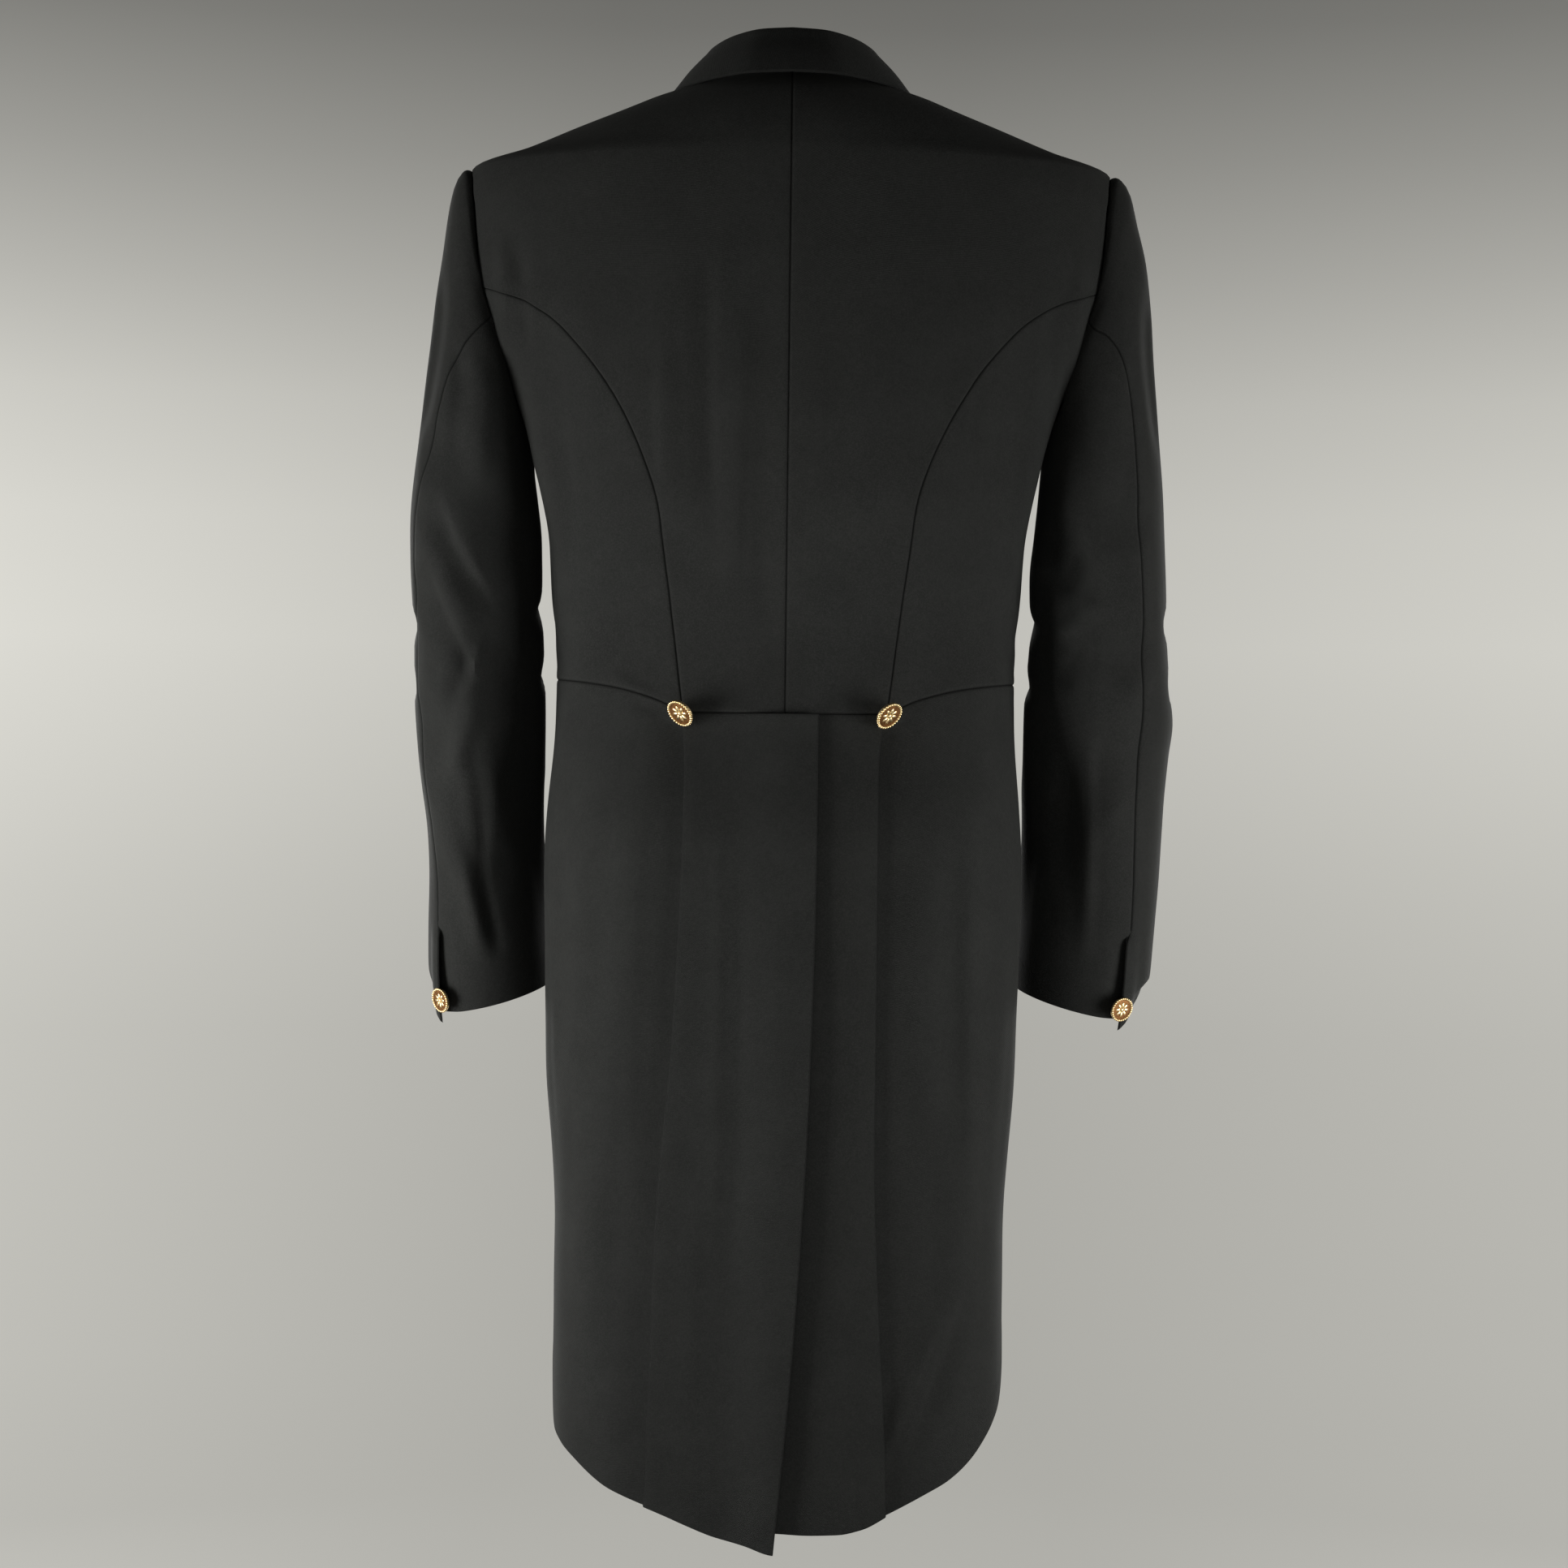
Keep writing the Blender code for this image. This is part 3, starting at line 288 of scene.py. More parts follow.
# Creases worked in, for each cloth and each side it is seen from. Columns: half width, part
# wider on its right, height (+ outwards), line of (x or y, z) points
CREASES = {
    ("coat", "back"): (
        (9, 0.2, 1.6, ((209, -112), (206, -150), (205, -215))),
        (8, -0.2, -1.3, ((196, -120), (193, -160), (190, -215))),
        (9, -0.2, 1.6, ((-211, -118), (-207, -190), (-205, -290))),
        (10, 0.2, -1.2, ((-192, -150), (-190, -200), (-187, -260))),
        (13, 0.3, 1.2, ((33, -150), (35, -280), (40, -400))),
        (13, 0.2, -1.5, ((59, -110), (58, -240), (55, -345))),
        (13, -0.2, 1.3, ((88, -185), (88, -260), (84, -330))),
        (13, -0.2, -0.8, ((14, -150), (17, -300), (16, -440))),
        (16, 0.2, 0.9, ((-126, -205), (-122, -250), (-119, -300))),
        (12, -0.3, -0.8, ((-99, -225), (-96, -270), (-97, -330))),
        (18, 0.1, -0.7, ((-34, -130), (-38, -260), (-36, -400))),
        (14, 0.3, -1.0, ((168, -235), (160, -290), (150, -350))),
        (13, 0.2, 1.0, ((190, -250), (184, -310), (176, -372))),
        (12, -0.2, 0.8, ((-178, -260), (-170, -320), (-160, -380))),
        (5, 0.3, -0.8, ((112, -455), (98, -458), (78, -457))),
        (7, 0.2, 0.6, ((128, -432), (110, -444), (90, -450))),
        (6, 0.2, -0.6, ((-100, -452), (-90, -456), (-78, -458))),
        (9, -0.3, 1.0, ((-70, -1012), (-99, -934), (-124, -870))),
        (11, 0.3, -1.0, ((-88, -1010), (-117, -930), (-140, -866))),
        (13, 0.2, -1.2, ((-122, -520), (-124, -640), (-130, -840))),
        (14, -0.2, 1.0, ((-98, -500), (-97, -640), (-104, -800))),
        (7, 0.3, 0.45, ((45, -500), (44, -700), (46, -930))),
        (8, -0.3, -0.45, ((31, -520), (30, -720), (33, -900))),
        (16, 0.2, 0.9, ((104, -490), (110, -640), (112, -800))),
        (15, -0.2, -0.9, ((134, -500), (138, -660), (133, -830))),
        (14, 0.2, 0.6, ((58, -780), (62, -900), (70, -1010))),
    ),
    ("coat", "left"): (
        (15, -0.2, 1.0, ((36, -370), (30, -400), (14, -432))),
        (16, 0.2, -1.4, ((-30, -470), (-22, -620), (0, -800))),
        (18, -0.2, 1.3, ((18, -480), (26, -640), (36, -820))),
        (14, 0.1, -0.9, ((52, -500), (56, -640), (58, -760))),
    ),
    ("coat", "right"): (
        (14, 0.2, 0.9, ((34, -372), (28, -402), (12, -432))),
        (16, -0.2, -1.4, ((-22, -475), (-18, -640), (4, -780))),
        (17, 0.2, 1.2, ((24, -470), (28, -650), (40, -850))),
    ),
    ("coat", "front"): (
        (16, 0.2, -1.2, ((168, -100), (160, -160), (146, -225))),
        (15, -0.2, 1.0, ((190, -120), (178, -190), (160, -260))),
        (14, 0.2, -1.1, ((18, -416), (60, -392), (104, -352))),
        (13, 0.2, 0.9, ((24, -430), (76, -418), (128, -398))),
        (12, -0.2, -0.9, ((10, -428), (56, -434), (100, -428))),
        (16, 0.2, -1.2, ((-166, -105), (-160, -170), (-150, -232))),
        (15, 0.2, -1.1, ((-16, -416), (-56, -390), (-96, -344))),
        (13, -0.2, 0.9, ((-22, -430), (-70, -420), (-122, -404))),
        (16, 0.2, -1.0, ((96, -470), (118, -560), (132, -660))),
        (16, 0.2, -1.0, ((-98, -470), (-120, -570), (-132, -650))),
    ),
    ("sleeve", "back"): (
        (13, 0.3, -3.8, ((262, -300), (243, -345), (221, -378), (206, -405))),
        (13, -0.3, 3.2, ((262, -352), (247, -380), (232, -410), (216, -452))),
        (12, 0.3, -3.4, ((222, -392), (227, -412), (236, -440), (250, -468))),
        (13, 0.2, 2.8, ((222, -440), (232, -478), (248, -520))),
        (18, 0.2, -1.8, ((224, -470), (222, -520), (226, -590))),
        (12, 0.2, 2.0, ((221, -205), (219, -250), (226, -300))),
        (10, -0.2, -1.6, ((240, -190), (240, -240), (248, -290))),
        (12, 0.3, 2.0, ((246, -540), (228, -600), (216, -650))),
        (10, 0.3, -1.2, ((226, -560), (216, -610), (207, -650))),
        (11, 0.3, 3.6, ((-176, -318), (-180, -346), (-188, -366))),
        (11, 0.3, -3.4, ((-186, -372), (-200, -360), (-214, -340))),
        (12, 0.3, 3.4, ((-188, -402), (-205, -396), (-224, -372))),
        (12, 0.3, -3.2, ((-190, -440), (-206, -428), (-222, -408))),
        (16, 0.2, 1.5, ((-240, -180), (-236, -260), (-236, -330))),
        (12, 0.2, -1.2, ((-216, -200), (-212, -250), (-210, -300))),
        (15, 0.2, 1.5, ((-250, -420), (-248, -480), (-238, -560))),
        (13, 0.2, -1.3, ((-206, -470), (-204, -530), (-210, -600))),
        (32, 0.1, -5.0, ((193, -262), (196, -340), (194, -430), (191, -520), (188, -640))),
        (10, 0.1, 1.4, ((240, -450), (230, -540), (226, -600), (216, -655))),
        (34, 0.1, -5.2, ((-196, -262), (-198, -340), (-198, -430), (-197, -520), (-196, -640))),
        (9, 0.1, 1.4, ((-216, -440), (-222, -520), (-224, -600), (-222, -655))),
    ),
    ("sleeve", "left"): (
        (15, 0.2, -1.6, ((20, -130), (26, -200), (20, -270))),
        (17, 0.2, 1.4, ((-30, -150), (-32, -240), (-30, -330))),
        (15, -0.2, -2.2, ((-40, -360), (-8, -392), (24, -404))),
        (14, 0.2, -1.8, ((-50, -410), (-20, -436), (14, -452))),
        (15, 0.2, 1.5, ((-30, -480), (-46, -540), (-60, -610))),
    ),
    ("sleeve", "right"): (
        (15, 0.2, -1.5, ((18, -140), (24, -210), (16, -280))),
        (17, 0.2, 1.4, ((-30, -150), (-34, -240), (-30, -320))),
        (15, -0.2, -2.2, ((-42, -352), (-10, -384), (22, -398))),
        (14, 0.2, -1.8, ((-52, -404), (-22, -430), (10, -448))),
        (15, 0.2, -1.5, ((-24, -500), (-40, -560), (-56, -620))),
    ),
    ("sleeve", "front"): (
        (15, 0.2, -2.4, ((200, -345), (226, -372), (254, -384))),
        (14, 0.2, -2.2, ((198, -392), (224, -416), (250, -428))),
        (14, 0.2, -1.8, ((200, -440), (222, -462), (244, -474))),
        (15, -0.2, -2.4, ((-200, -340), (-226, -366), (-256, -380))),
        (14, -0.2, -2.2, ((-198, -388), (-226, -412), (-252, -426))),
        (14, 0.2, -1.7, ((-202, -446), (-226, -466), (-248, -480))),
    ),
}
# How far a surface must face that side for a crease to start and be full, and its faded ends
CREASE_FACING = (0.05, 0.4)
CREASE_ENDS = 0.3

# Mesh
STEP = 4.0
EDGE_STEPS = (0.0, 0.45, 1.0, 1.9, 3.2)
SEAM_GAP = 0.1
PER = 12
# How far one piece reaches under the next at a flush seam, and how deep its lap starts and ends
LAP, LAP_CUT = 1.5, 1.65
LAP_DEPTH, LIP_DEPTH = 0.55, 0.42
# A round edge: how far it swells and how deep its swell starts, as parts of the thickness
RIM_SWELL, RIM_AT = 0.12, 0.2
SMOOTH_ANGLE = 55


@functools.lru_cache(maxsize=None)
def cubic(table, column):
    """Knots and monotone tangents of one column of a table."""
    rows = sorted((float(row[0]), float(row[column])) for row in table)
    xs = np.array([row[0] for row in rows])
    ys = np.array([row[1] for row in rows])
    steps = np.diff(xs)
    slopes = np.diff(ys) / steps
    tangents = np.zeros(len(xs))
    tangents[0], tangents[-1] = slopes[0], slopes[-1]
    a, b = slopes[:-1], slopes[1:]
    before, after = steps[:-1], steps[1:]
    same = a * b > 0
    safe_a, safe_b = np.where(same, a, 1), np.where(same, b, 1)
    blend = 3 * (before + after) / (
        (2 * after + before) / safe_a + (after + 2 * before) / safe_b
    )
    tangents[1:-1] = np.where(same, blend, 0)
    return xs, ys, steps, tangents


def smooth(table, at, column=1):
    """The column of a table at values of its first column, by a monotone cubic."""
    xs, ys, steps, tangents = cubic(table, column)
    at = np.clip(at, xs[0], xs[-1])
    i = np.clip(np.searchsorted(xs, at, side="right") - 1, 0, len(xs) - 2)
    h = steps[i]
    t = (at - xs[i]) / h
    return (
        ys[i] * (1 + 2 * t) * (1 - t) ** 2
        + h * tangents[i] * t * (1 - t) ** 2
        + ys[i + 1] * t * t * (3 - 2 * t)
        + h * tangents[i + 1] * t * t * (t - 1)
    )


def bump(value):
    """1 at 0, falling smoothly to 0 at 1."""
    value = np.minimum(np.abs(value), 1.0)
    return (1 - value * value) ** 2


def step(value, low, high):
    """0 up to low and 1 from high, smooth between."""
    t = np.clip((value - low) / (high - low), 0.0, 1.0)
    return t * t * (3 - 2 * t)


def unit(vectors):
    return vectors / np.maximum(np.linalg.norm(vectors, axis=-1, keepdims=True), 1e-9)


def ring(z):
    """Half width, back and front depths, power and middle y of the form at z."""
    return [smooth(RINGS, z, column) for column in range(1, 6)]


def angle_at(x, z):
    """Angle on the back half of the form's ring where it is x from the middle."""
    width, _, _, power, _ = ring(z)
    ratio = np.minimum(np.abs(x) / width, 1.0)
    angle = np.degrees(np.arccos(np.minimum(1.0, ratio ** (power / 2))))
    return np.where(np.asarray(x) >= 0, angle, 180 - angle)


def front_angle_at(x, z):
    return -angle_at(x, z)


def bare(angle, z):
    """Points of the form without folds, on the +X side of the coat."""
    width, back, front, power, middle = ring(z)
    c = np.cos(np.radians(angle))
    s = np.sin(np.radians(angle))
    depth = np.where(s > 0, back - middle, front + middle)
    x = width * np.copysign(np.abs(c) ** (2 / power), c)
    y = middle + depth * np.copysign(np.abs(s) ** (2 / power), s)
    return np.stack([x, y, np.broadcast_to(z, np.shape(x))], axis=-1)


def fold_height(side, angle, z):
    """Height of the form's broad dents and swells."""
    total = np.zeros(np.shape(angle))
    x = bare(angle, z)[..., 0]
    for which, top, low, kind, z_top, z_low, half, height in FOLDS:
        if which not in (0, side):
            continue
        along = np.clip((z_top - z) / (z_top - z_low), 0, 1)
        middle = top + (low - top) * along
        away = (angle - middle) / half if kind == "a" else (x - middle) / half
        part = height * bump(away) * bump(2 * along - 1)
        total += part if kind == "a" else np.where(angle > 2, part, 0)
    return total


def normal_at(angle, z):
    """Outward normals of the form."""
    reach = 0.4
    across = bare(angle + reach, z) - bare(angle - reach, z)
    down = bare(angle, z - reach) - bare(angle, z + reach)
    return unit(np.cross(down, across))


def form(side, angle, z, rise=0.0):
    """(points, normals) on the form, rise mm outwards."""
    angle, z = np.asarray(angle, float), np.asarray(z, float)
    normal = normal_at(angle, z)
    point = bare(angle, z) + normal * (fold_height(side, angle, z) + rise)[..., None]
    flip = np.array((side, 1, 1))
    return point * flip, normal * flip


def dense(points, closed=False):
    """A smooth line through points, PER steps from each to the next."""
    points = np.array(points, float)
    if closed:
        before, after = np.roll(points, 1, axis=0), np.roll(points, -1, axis=0)
        tangents = (after - before) / 2
        points = np.concatenate([points, points[:1]])
        tangents = np.concatenate([tangents, tangents[:1]])
    else:
        tangents = np.gradient(points, axis=0)
    t = np.linspace(0, 1, PER + 1)[:-1, None]
    parts = []
    for k in range(len(points) - 1):
        parts.append(
            points[k] * (1 + 2 * t) * (1 - t) ** 2
            + tangents[k] * t * (1 - t) ** 2
            + points[k + 1] * t * t * (3 - 2 * t)
            + tangents[k + 1] * t * t * (t - 1)
        )
    parts.append(points[-1:])
    return np.concatenate(parts)


def line_at(line, part):
    """Points at parts of the way through a line's own points."""
    at = np.clip(part, 0, 1) * (len(line) - 1)
    low = np.clip(at.astype(int), 0, len(line) - 2)
    share = (at - low)[..., None]
    return line[low] * (1 - share) + line[low + 1] * share


def resampled(points, count):
    """count + 1 points spaced evenly along a polyline."""
    points = np.array(points, float)
    lengths = np.concatenate([[0], np.cumsum(np.linalg.norm(np.diff(points, axis=0), axis=1))])
    at = np.linspace(0, lengths[-1], count + 1)
    return np.stack([np.interp(at, lengths, points[:, k]) for k in range(points.shape[1])], axis=1)


def evenly(line, count):
    """A line of (angle, z) respaced evenly along the form."""
    scale = np.array((DEGREE_MM, 1.0))
    return resampled(line * scale, count) / scale


def parts(lengths, count):
    """For lines of these lengths, parts from 0 to 1: close together at the ends, even between."""
    lengths = np.maximum(lengths, 3 * EDGE_STEPS[-1])[:, None]
    near = np.array(EDGE_STEPS)[None] / lengths
    first = near[:, -1:]
    inner = first + (1 - 2 * first) * np.linspace(0, 1, count + 1)[None, 1:-1]
    return np.concatenate([near, inner, 1 - near[:, ::-1]], axis=1)


def patch(top, low, first, last, u, v):
    """(angle, z) inside four edge lines, u down and v across."""
    down, over = u[..., None], v[..., None]
    corners = (
        (1 - down) * (1 - over) * top[0] + (1 - down) * over * top[-1]
        + down * (1 - over) * low[0] + down * over * low[-1]
    )
    return (
        (1 - down) * line_at(top, v) + down * line_at(low, v)
        + (1 - over) * line_at(first, u) + over * line_at(last, u) - corners
    )


def patch_grid(top, low, first, last):
    """Fine grid of (angle, z) inside four edge lines, closer together at its edges."""
    coarse = np.linspace(0, 1, 13)
    v, u = np.meshgrid(coarse, coarse)
    rough = patch(top, low, first, last, u, v)
    rough = bare(rough[..., 0], rough[..., 1])
    widths = np.linalg.norm(np.diff(rough, axis=1), axis=2).sum(axis=1)
    heights = np.linalg.norm(np.diff(rough, axis=0), axis=2).sum(axis=0)
    rows = math.ceil(heights.max() / STEP)
    columns = math.ceil(widths.max() / STEP)
    across = parts(widths.mean(keepdims=True), columns)[0]
    down = parts(heights.mean(keepdims=True), rows)[0]
    us = parts(np.interp(across, coarse, heights), rows).T
    vs = parts(np.interp(down, coarse, widths), columns)
    return patch(top, low, first, last, us, vs)


def inset(points, normals, amount=SEAM_GAP / 2):
    """The grid with its four edges moved in, square to each edge."""
    moved = points.copy()
    for flip in (False, True):
        grid = points.swapaxes(0, 1) if flip else points
        facing = normals.swapaxes(0, 1) if flip else normals
        target = moved.swapaxes(0, 1) if flip else moved
        for edge, inner in ((0, 2), (-1, -3)):
            along = np.gradient(grid[edge], axis=0)
            across = unit(np.cross(along, facing[edge]))
            sign = np.sign(((grid[inner] - grid[edge]) * across).sum(axis=1, keepdims=True))
            target[edge] += across * sign * amount
    return moved


def runs(points):
    """Lengths along the rows and down the columns of a grid, from its first column and row."""
    across = np.zeros(points.shape[:2])
    across[:, 1:] = np.cumsum(np.linalg.norm(np.diff(points, axis=1), axis=2), axis=1)
    down = np.zeros(points.shape[:2])
    down[1:] = np.cumsum(np.linalg.norm(np.diff(points, axis=0), axis=2), axis=0)
    return across, down


def coat():
    return bpy.context.scene.tailcoat


SEAM_REACH = 0.85
# Painted shade on folded edges and hems: how far they are darkened at the edge
FOLD_SHADE = 0.75
PRESS_AT, PRESS_HALF, PRESS_HEIGHT = 4.5, 4.5, 0.16
PUCKER_PITCH, PUCKER_REACH = 13.0, 7.0
PUCKER_SWAY, PUCKER_SWAY_PITCH = 1.9, 37.0
HEM_DEPTH, HEM_HALF, HEM_HEIGHT = 19.0, 5.0, 0.28


def edge_relief(points, edges):
    """(height, shade, rounding) from a piece's edges. The shade is a dark seam line with painted shade in
    its groove, and painted shade on folded edges and hems. edges: name -> (seam, fold, hem) shares.
    """
    across, down = runs(points)
    settings = coat()
    distance = {
        "top": down, "low": down[-1:] - down, "first": across, "last": across[:, -1:] - across,
    }
    height = np.zeros(across.shape)
    shade = np.zeros(across.shape)
    rounding = np.zeros(across.shape)
    for name, (seam, fold, hem) in edges.items():
        away = distance[name]
        phase = points[..., 2] if name in ("first", "last") else points[..., 0]
        sway = PUCKER_SWAY * np.sin(phase / PUCKER_SWAY_PITCH)
        wave = np.sin(math.tau * phase / PUCKER_PITCH + sway)
        groove = np.exp(-(away / SEAM_REACH) ** 2)
        height -= seam * settings.seam_depth / MM * groove
        height += seam * PRESS_HEIGHT * bump((away - PRESS_AT) / PRESS_HALF)
        height += seam * settings.pucker / MM * wave * np.exp(-away / PUCKER_REACH)
        radius = settings.thickness / MM / 2
        inside = radius - np.minimum(away, radius)
        rounding += fold * (radius - np.sqrt(radius ** 2 - inside ** 2))
        height += hem * HEM_HEIGHT * (step(-away, -HEM_DEPTH - HEM_HALF, -HEM_DEPTH) - 1)
        # Painted shade: each seam is darkened along its groove (a dark seam line with painted groove
        # shade), and folded edges and hems are darkened too
        shade = np.maximum(shade, seam * groove)
        shade = np.maximum(shade, fold * FOLD_SHADE * np.exp(-(away / SEAM_REACH) ** 2))
    return height, shade, rounding


FACES = {"back": (0, 1, 1), "front": (0, 1, -1), "left": (1, 0, 1), "right": (1, 0, -1)}


def beside(here, path):
    """(distance, which side, part along) of points from the nearest place on a line."""
    nearest = np.full(here.shape[:2], np.inf)
    hand = np.zeros(nearest.shape)
    along = np.zeros(nearest.shape)
    for k in range(len(path) - 1):
        run = path[k + 1] - path[k]
        t = np.clip(((here - path[k]) @ run) / (run @ run), 0, 1)
        away = here - path[k] - t[..., None] * run
        length = np.linalg.norm(away, axis=-1)
        closer = length < nearest
        nearest = np.where(closer, length, nearest)
        turn = run[0] * away[..., 1] - run[1] * away[..., 0]
        hand = np.where(closer, np.sign(turn), hand)
        along = np.where(closer, (k + t) / (len(path) - 1), along)
    return nearest, hand, along


def crease_height(cloth, points, normals):
    """Height of the listed creases, each on the surfaces that face its own side."""
    total = np.zeros(points.shape[:2])
    for face, (flat, depth, sign) in FACES.items():
        facing = step(normals[..., depth] * sign, *CREASE_FACING)
        here = points[..., (flat, 2)]
        for half, skew, height, line in CREASES[cloth, face]:
            path = resampled(dense(line), 3 * (len(line) - 1) + 2)
            nearest, hand, along = beside(here, path)
            taper = step(np.minimum(along, 1 - along), 0, CREASE_ENDS)
            total += height * bump(nearest / (half * (1 + skew * hand))) * taper * facing
    return total * coat().crease


def drift(points):
    """The slight unevenness of hanging cloth."""
    x, y, z = points[..., 0], points[..., 1], points[..., 2]
    return (
        0.22 * np.sin(x / 23 + z / 61) * np.sin(z / 47 - x / 90)
        + 0.16 * np.sin(x / 13.1 - z / 29 + y / 31)
        + 0.1 * np.sin(z / 11.3 + x / 17.7)
    )


# Row or column of the grid at each edge, and whether the grid is turned to reach it
EDGE_ROWS = {"top": (0, False), "low": (-1, False), "first": (0, True), "last": (-1, True)}


def closed_sheet(points, normals, rounding, laps):
    """Vertices and faces of a sheet with its thickness inwards. At a lap of +1 the inner half of its
    thickness reaches under the next piece, at -1 it is cut back for that, at 0 the edge is round."""
    thickness = coat().thickness / MM
    rows, columns = points.shape[:2]
    inner = points - normals * thickness
    outer = points - normals * rounding[..., None]
    shift = np.zeros(points.shape)
    bulge = np.zeros(points.shape)
    depth = np.full((rows, columns), np.nan)
    near = len(EDGE_STEPS) - 1
    for name, (edge, turned) in EDGE_ROWS.items():
        grid, facing = (a.swapaxes(0, 1) if turned else a for a in (points, normals))
        inside, moved, swell = (a.swapaxes(0, 1) if turned else a for a in (inner, shift, bulge))
        deep = depth.T if turned else depth
        lap = np.broadcast_to(laps.get(name, 0.0), grid.shape[1])[:, None]
        one = 1 if edge == 0 else -1
        away = grid[edge] - grid[edge + 2 * one]
        away = unit(away - facing[edge] * (away * facing[edge]).sum(axis=1, keepdims=True))
        reach = np.where(lap > 0, lap * LAP, lap * LAP_CUT)
        moved[edge] += away * reach
        swell[edge] += away * thickness * RIM_SWELL * (1 - np.abs(lap))
        for k in range(near):
            inside[edge + k * one] += away * reach * (1 - EDGE_STEPS[k] / EDGE_STEPS[near])
        cut = np.where(lap > 0, LAP_DEPTH, LIP_DEPTH)[:, 0]
        deep[edge] = np.where(np.abs(lap[:, 0]) > 0.5, cut, deep[edge])
    index = np.arange(rows * columns).reshape(rows, columns)
    rim = np.concatenate([index[0], index[1:, -1], index[-1, -2::-1], index[-2:0:-1, 0]])
    flat = [a.reshape(-1, 3) for a in (outer, inner, shift, bulge, normals)]
    edge_out, edge_in, moved, swell, facing = (a[rim] for a in flat)
    deep = depth.reshape(-1)[rim][:, None]
    lapped = ~np.isnan(deep)
    cut = np.where(lapped, deep, 0) * thickness
    through = edge_in - edge_out
    upper = np.where(lapped, edge_out - facing * cut, edge_out + through * RIM_AT + swell)
    lower = np.where(lapped, edge_out - facing * cut + moved, edge_out + through * (1 - RIM_AT) + swell)
    count = rows * columns
    quads = np.stack(
        [index[:-1, :-1], index[1:, :-1], index[1:, 1:], index[:-1, 1:]], axis=-1
    ).reshape(-1, 4)
    ring_up = np.arange(len(rim)) + 2 * count
    ring_low = ring_up + len(rim)
    faces = [quads, quads[:, ::-1] + count]
    for a, b in ((rim, ring_up), (ring_up, ring_low), (ring_low, rim + count)):
        faces.append(np.stack([a, np.roll(a, -1), np.roll(b, -1), b], axis=-1))
    return np.concatenate([flat[0], flat[1], upper, lower]), np.concatenate(faces), rim


def cloth_object(name, points, normals, shade, rounding, laps):
    """A closed sheet of cloth from the points of its outer face, with its grain as UVs."""
    verts, faces, rim = closed_sheet(points, normals, rounding, laps)
    facing = np.cross(np.diff(points, axis=0)[:, :-1], np.diff(points, axis=1)[:-1])
    if (facing * normals[:-1, :-1]).sum() < 0:
        faces = faces[:, ::-1]
    mesh = bpy.data.meshes.new(name)
    mesh.from_pydata((verts * MM).tolist(), [], faces.tolist())
    across, down = runs(points)
    grain = np.stack([across, down], axis=-1).reshape(-1, 2) * MM
    grain = np.concatenate([grain, grain, grain[rim], grain[rim]])
    corners = np.empty(len(mesh.loops), np.int32)
    mesh.loops.foreach_get("vertex_index", corners)
    layer = mesh.uv_layers.new(name="Grain")
    layer.data.foreach_set("uv", grain[corners].astype(np.float32).ravel())
    # The Seam attribute carries dark seam lines with painted shade in their grooves, and painted shade on
    # folded edges and hems; the inner face gets none
    shades = shade.reshape(-1)
    shades = np.concatenate([shades, shades * 0, shades[rim], shades[rim]])
    attribute = mesh.attributes.new("Seam", "FLOAT", "POINT")
    attribute.data.foreach_set("value", shades.astype(np.float32))
    made = bpy.data.objects.new(name, mesh)
    bpy.context.scene.collection.objects.link(made)
    choose(made)
    bpy.ops.object.shade_smooth_by_angle(angle=math.radians(SMOOTH_ANGLE))
    made.data.materials.append(wool())
    return made


def choose(*objects):
    """Selects these alone, the first one active."""
    bpy.ops.object.select_all(action="DESELECT")
    for item in objects:
        item.select_set(True)
    bpy.context.view_layer.objects.active = objects[0]


def hand_over(made, node, points):
    """The sheet stands for its solid: it goes onto the root and its solid is hidden. Its area and the size
    it was cut to are worked out and not used.
    """
    across, down = runs(points)
    area = (
        np.linalg.norm(
            np.cross(np.diff(points, axis=0)[:, :-1], np.diff(points, axis=1)[:-1]), axis=2
        ).sum() * MM * MM
    )
    width = round(float(across[:, -1].max()) * MM, 3)
    length = round(float(down[-1].max()) * MM, 3)
    area = min(area, width * length)
    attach(made, "root")
    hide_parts(node)


def lay(node, side, grid, rise, edges, laps):
    """A piece of the coat laid on the form and finished."""
    angle, z = grid[..., 0], grid[..., 1]
    points, normals = form(side, angle, z, rise)
    relief, shade, rounding = edge_relief(points, edges)
    points = inset(points, normals)
    height = relief + crease_height("coat", points, normals) + drift(points)
    points = points + normals * height[..., None]
    made = cloth_object("cloth_" + node, points, normals, shade, rounding, laps)
    hand_over(made, node, points)


# How an edge is finished: shares of seam, fold and hem
SEWN = (1.0, 0.0, 0.0)
PRESSED = (0.4, 0.0, 0.0)
FOLDED = (0.0, 1.0, 0.0)
HEMMED = (0.0, 1.0, 1.0)
SIDES = ((1, "left"), (-1, "right"))


@functools.lru_cache(maxsize=None)
def armhole_loop():
    """The whole armhole as one smooth closed line, from the shoulder tip down the back."""
    loop = list(ARMHOLE_BACK) + list(ARMHOLE_LOW[1:]) + list(reversed(ARMHOLE_FRONT))[1:-1]
    return dense(loop, closed=True)


def armhole(first, last):
    """The armhole between two of its listed points."""
    return armhole_loop()[first * PER:last * PER + 1]


def side_seam():
    """The curved seam between the back and the side body, as (angle, z)."""
    return dense([(float(angle_at(smooth(SIDE_SEAM, z), z)), z) for z in BACK_ROWS])


def underarm_angle(z):
    """Angle of the seam under the arm."""
    share = step(-z, -ARMHOLE_LOW[-1][1], -WAIST_SIDE_Z)
    return UNDERARM_ANGLE + (UNDERARM_ANGLE_LOW - UNDERARM_ANGLE) * share


def neck_z(angle):
    """Height of the neck edge, which rises to the centre back."""
    return NECK_RISE * np.sin(np.radians(np.minimum(angle, CENTRE_BACK))) ** 2


def joined(*lines):
    """Lines end to end, without the doubled points between them."""
    return np.concatenate([lines[0]] + [line[1:] for line in lines[1:]])


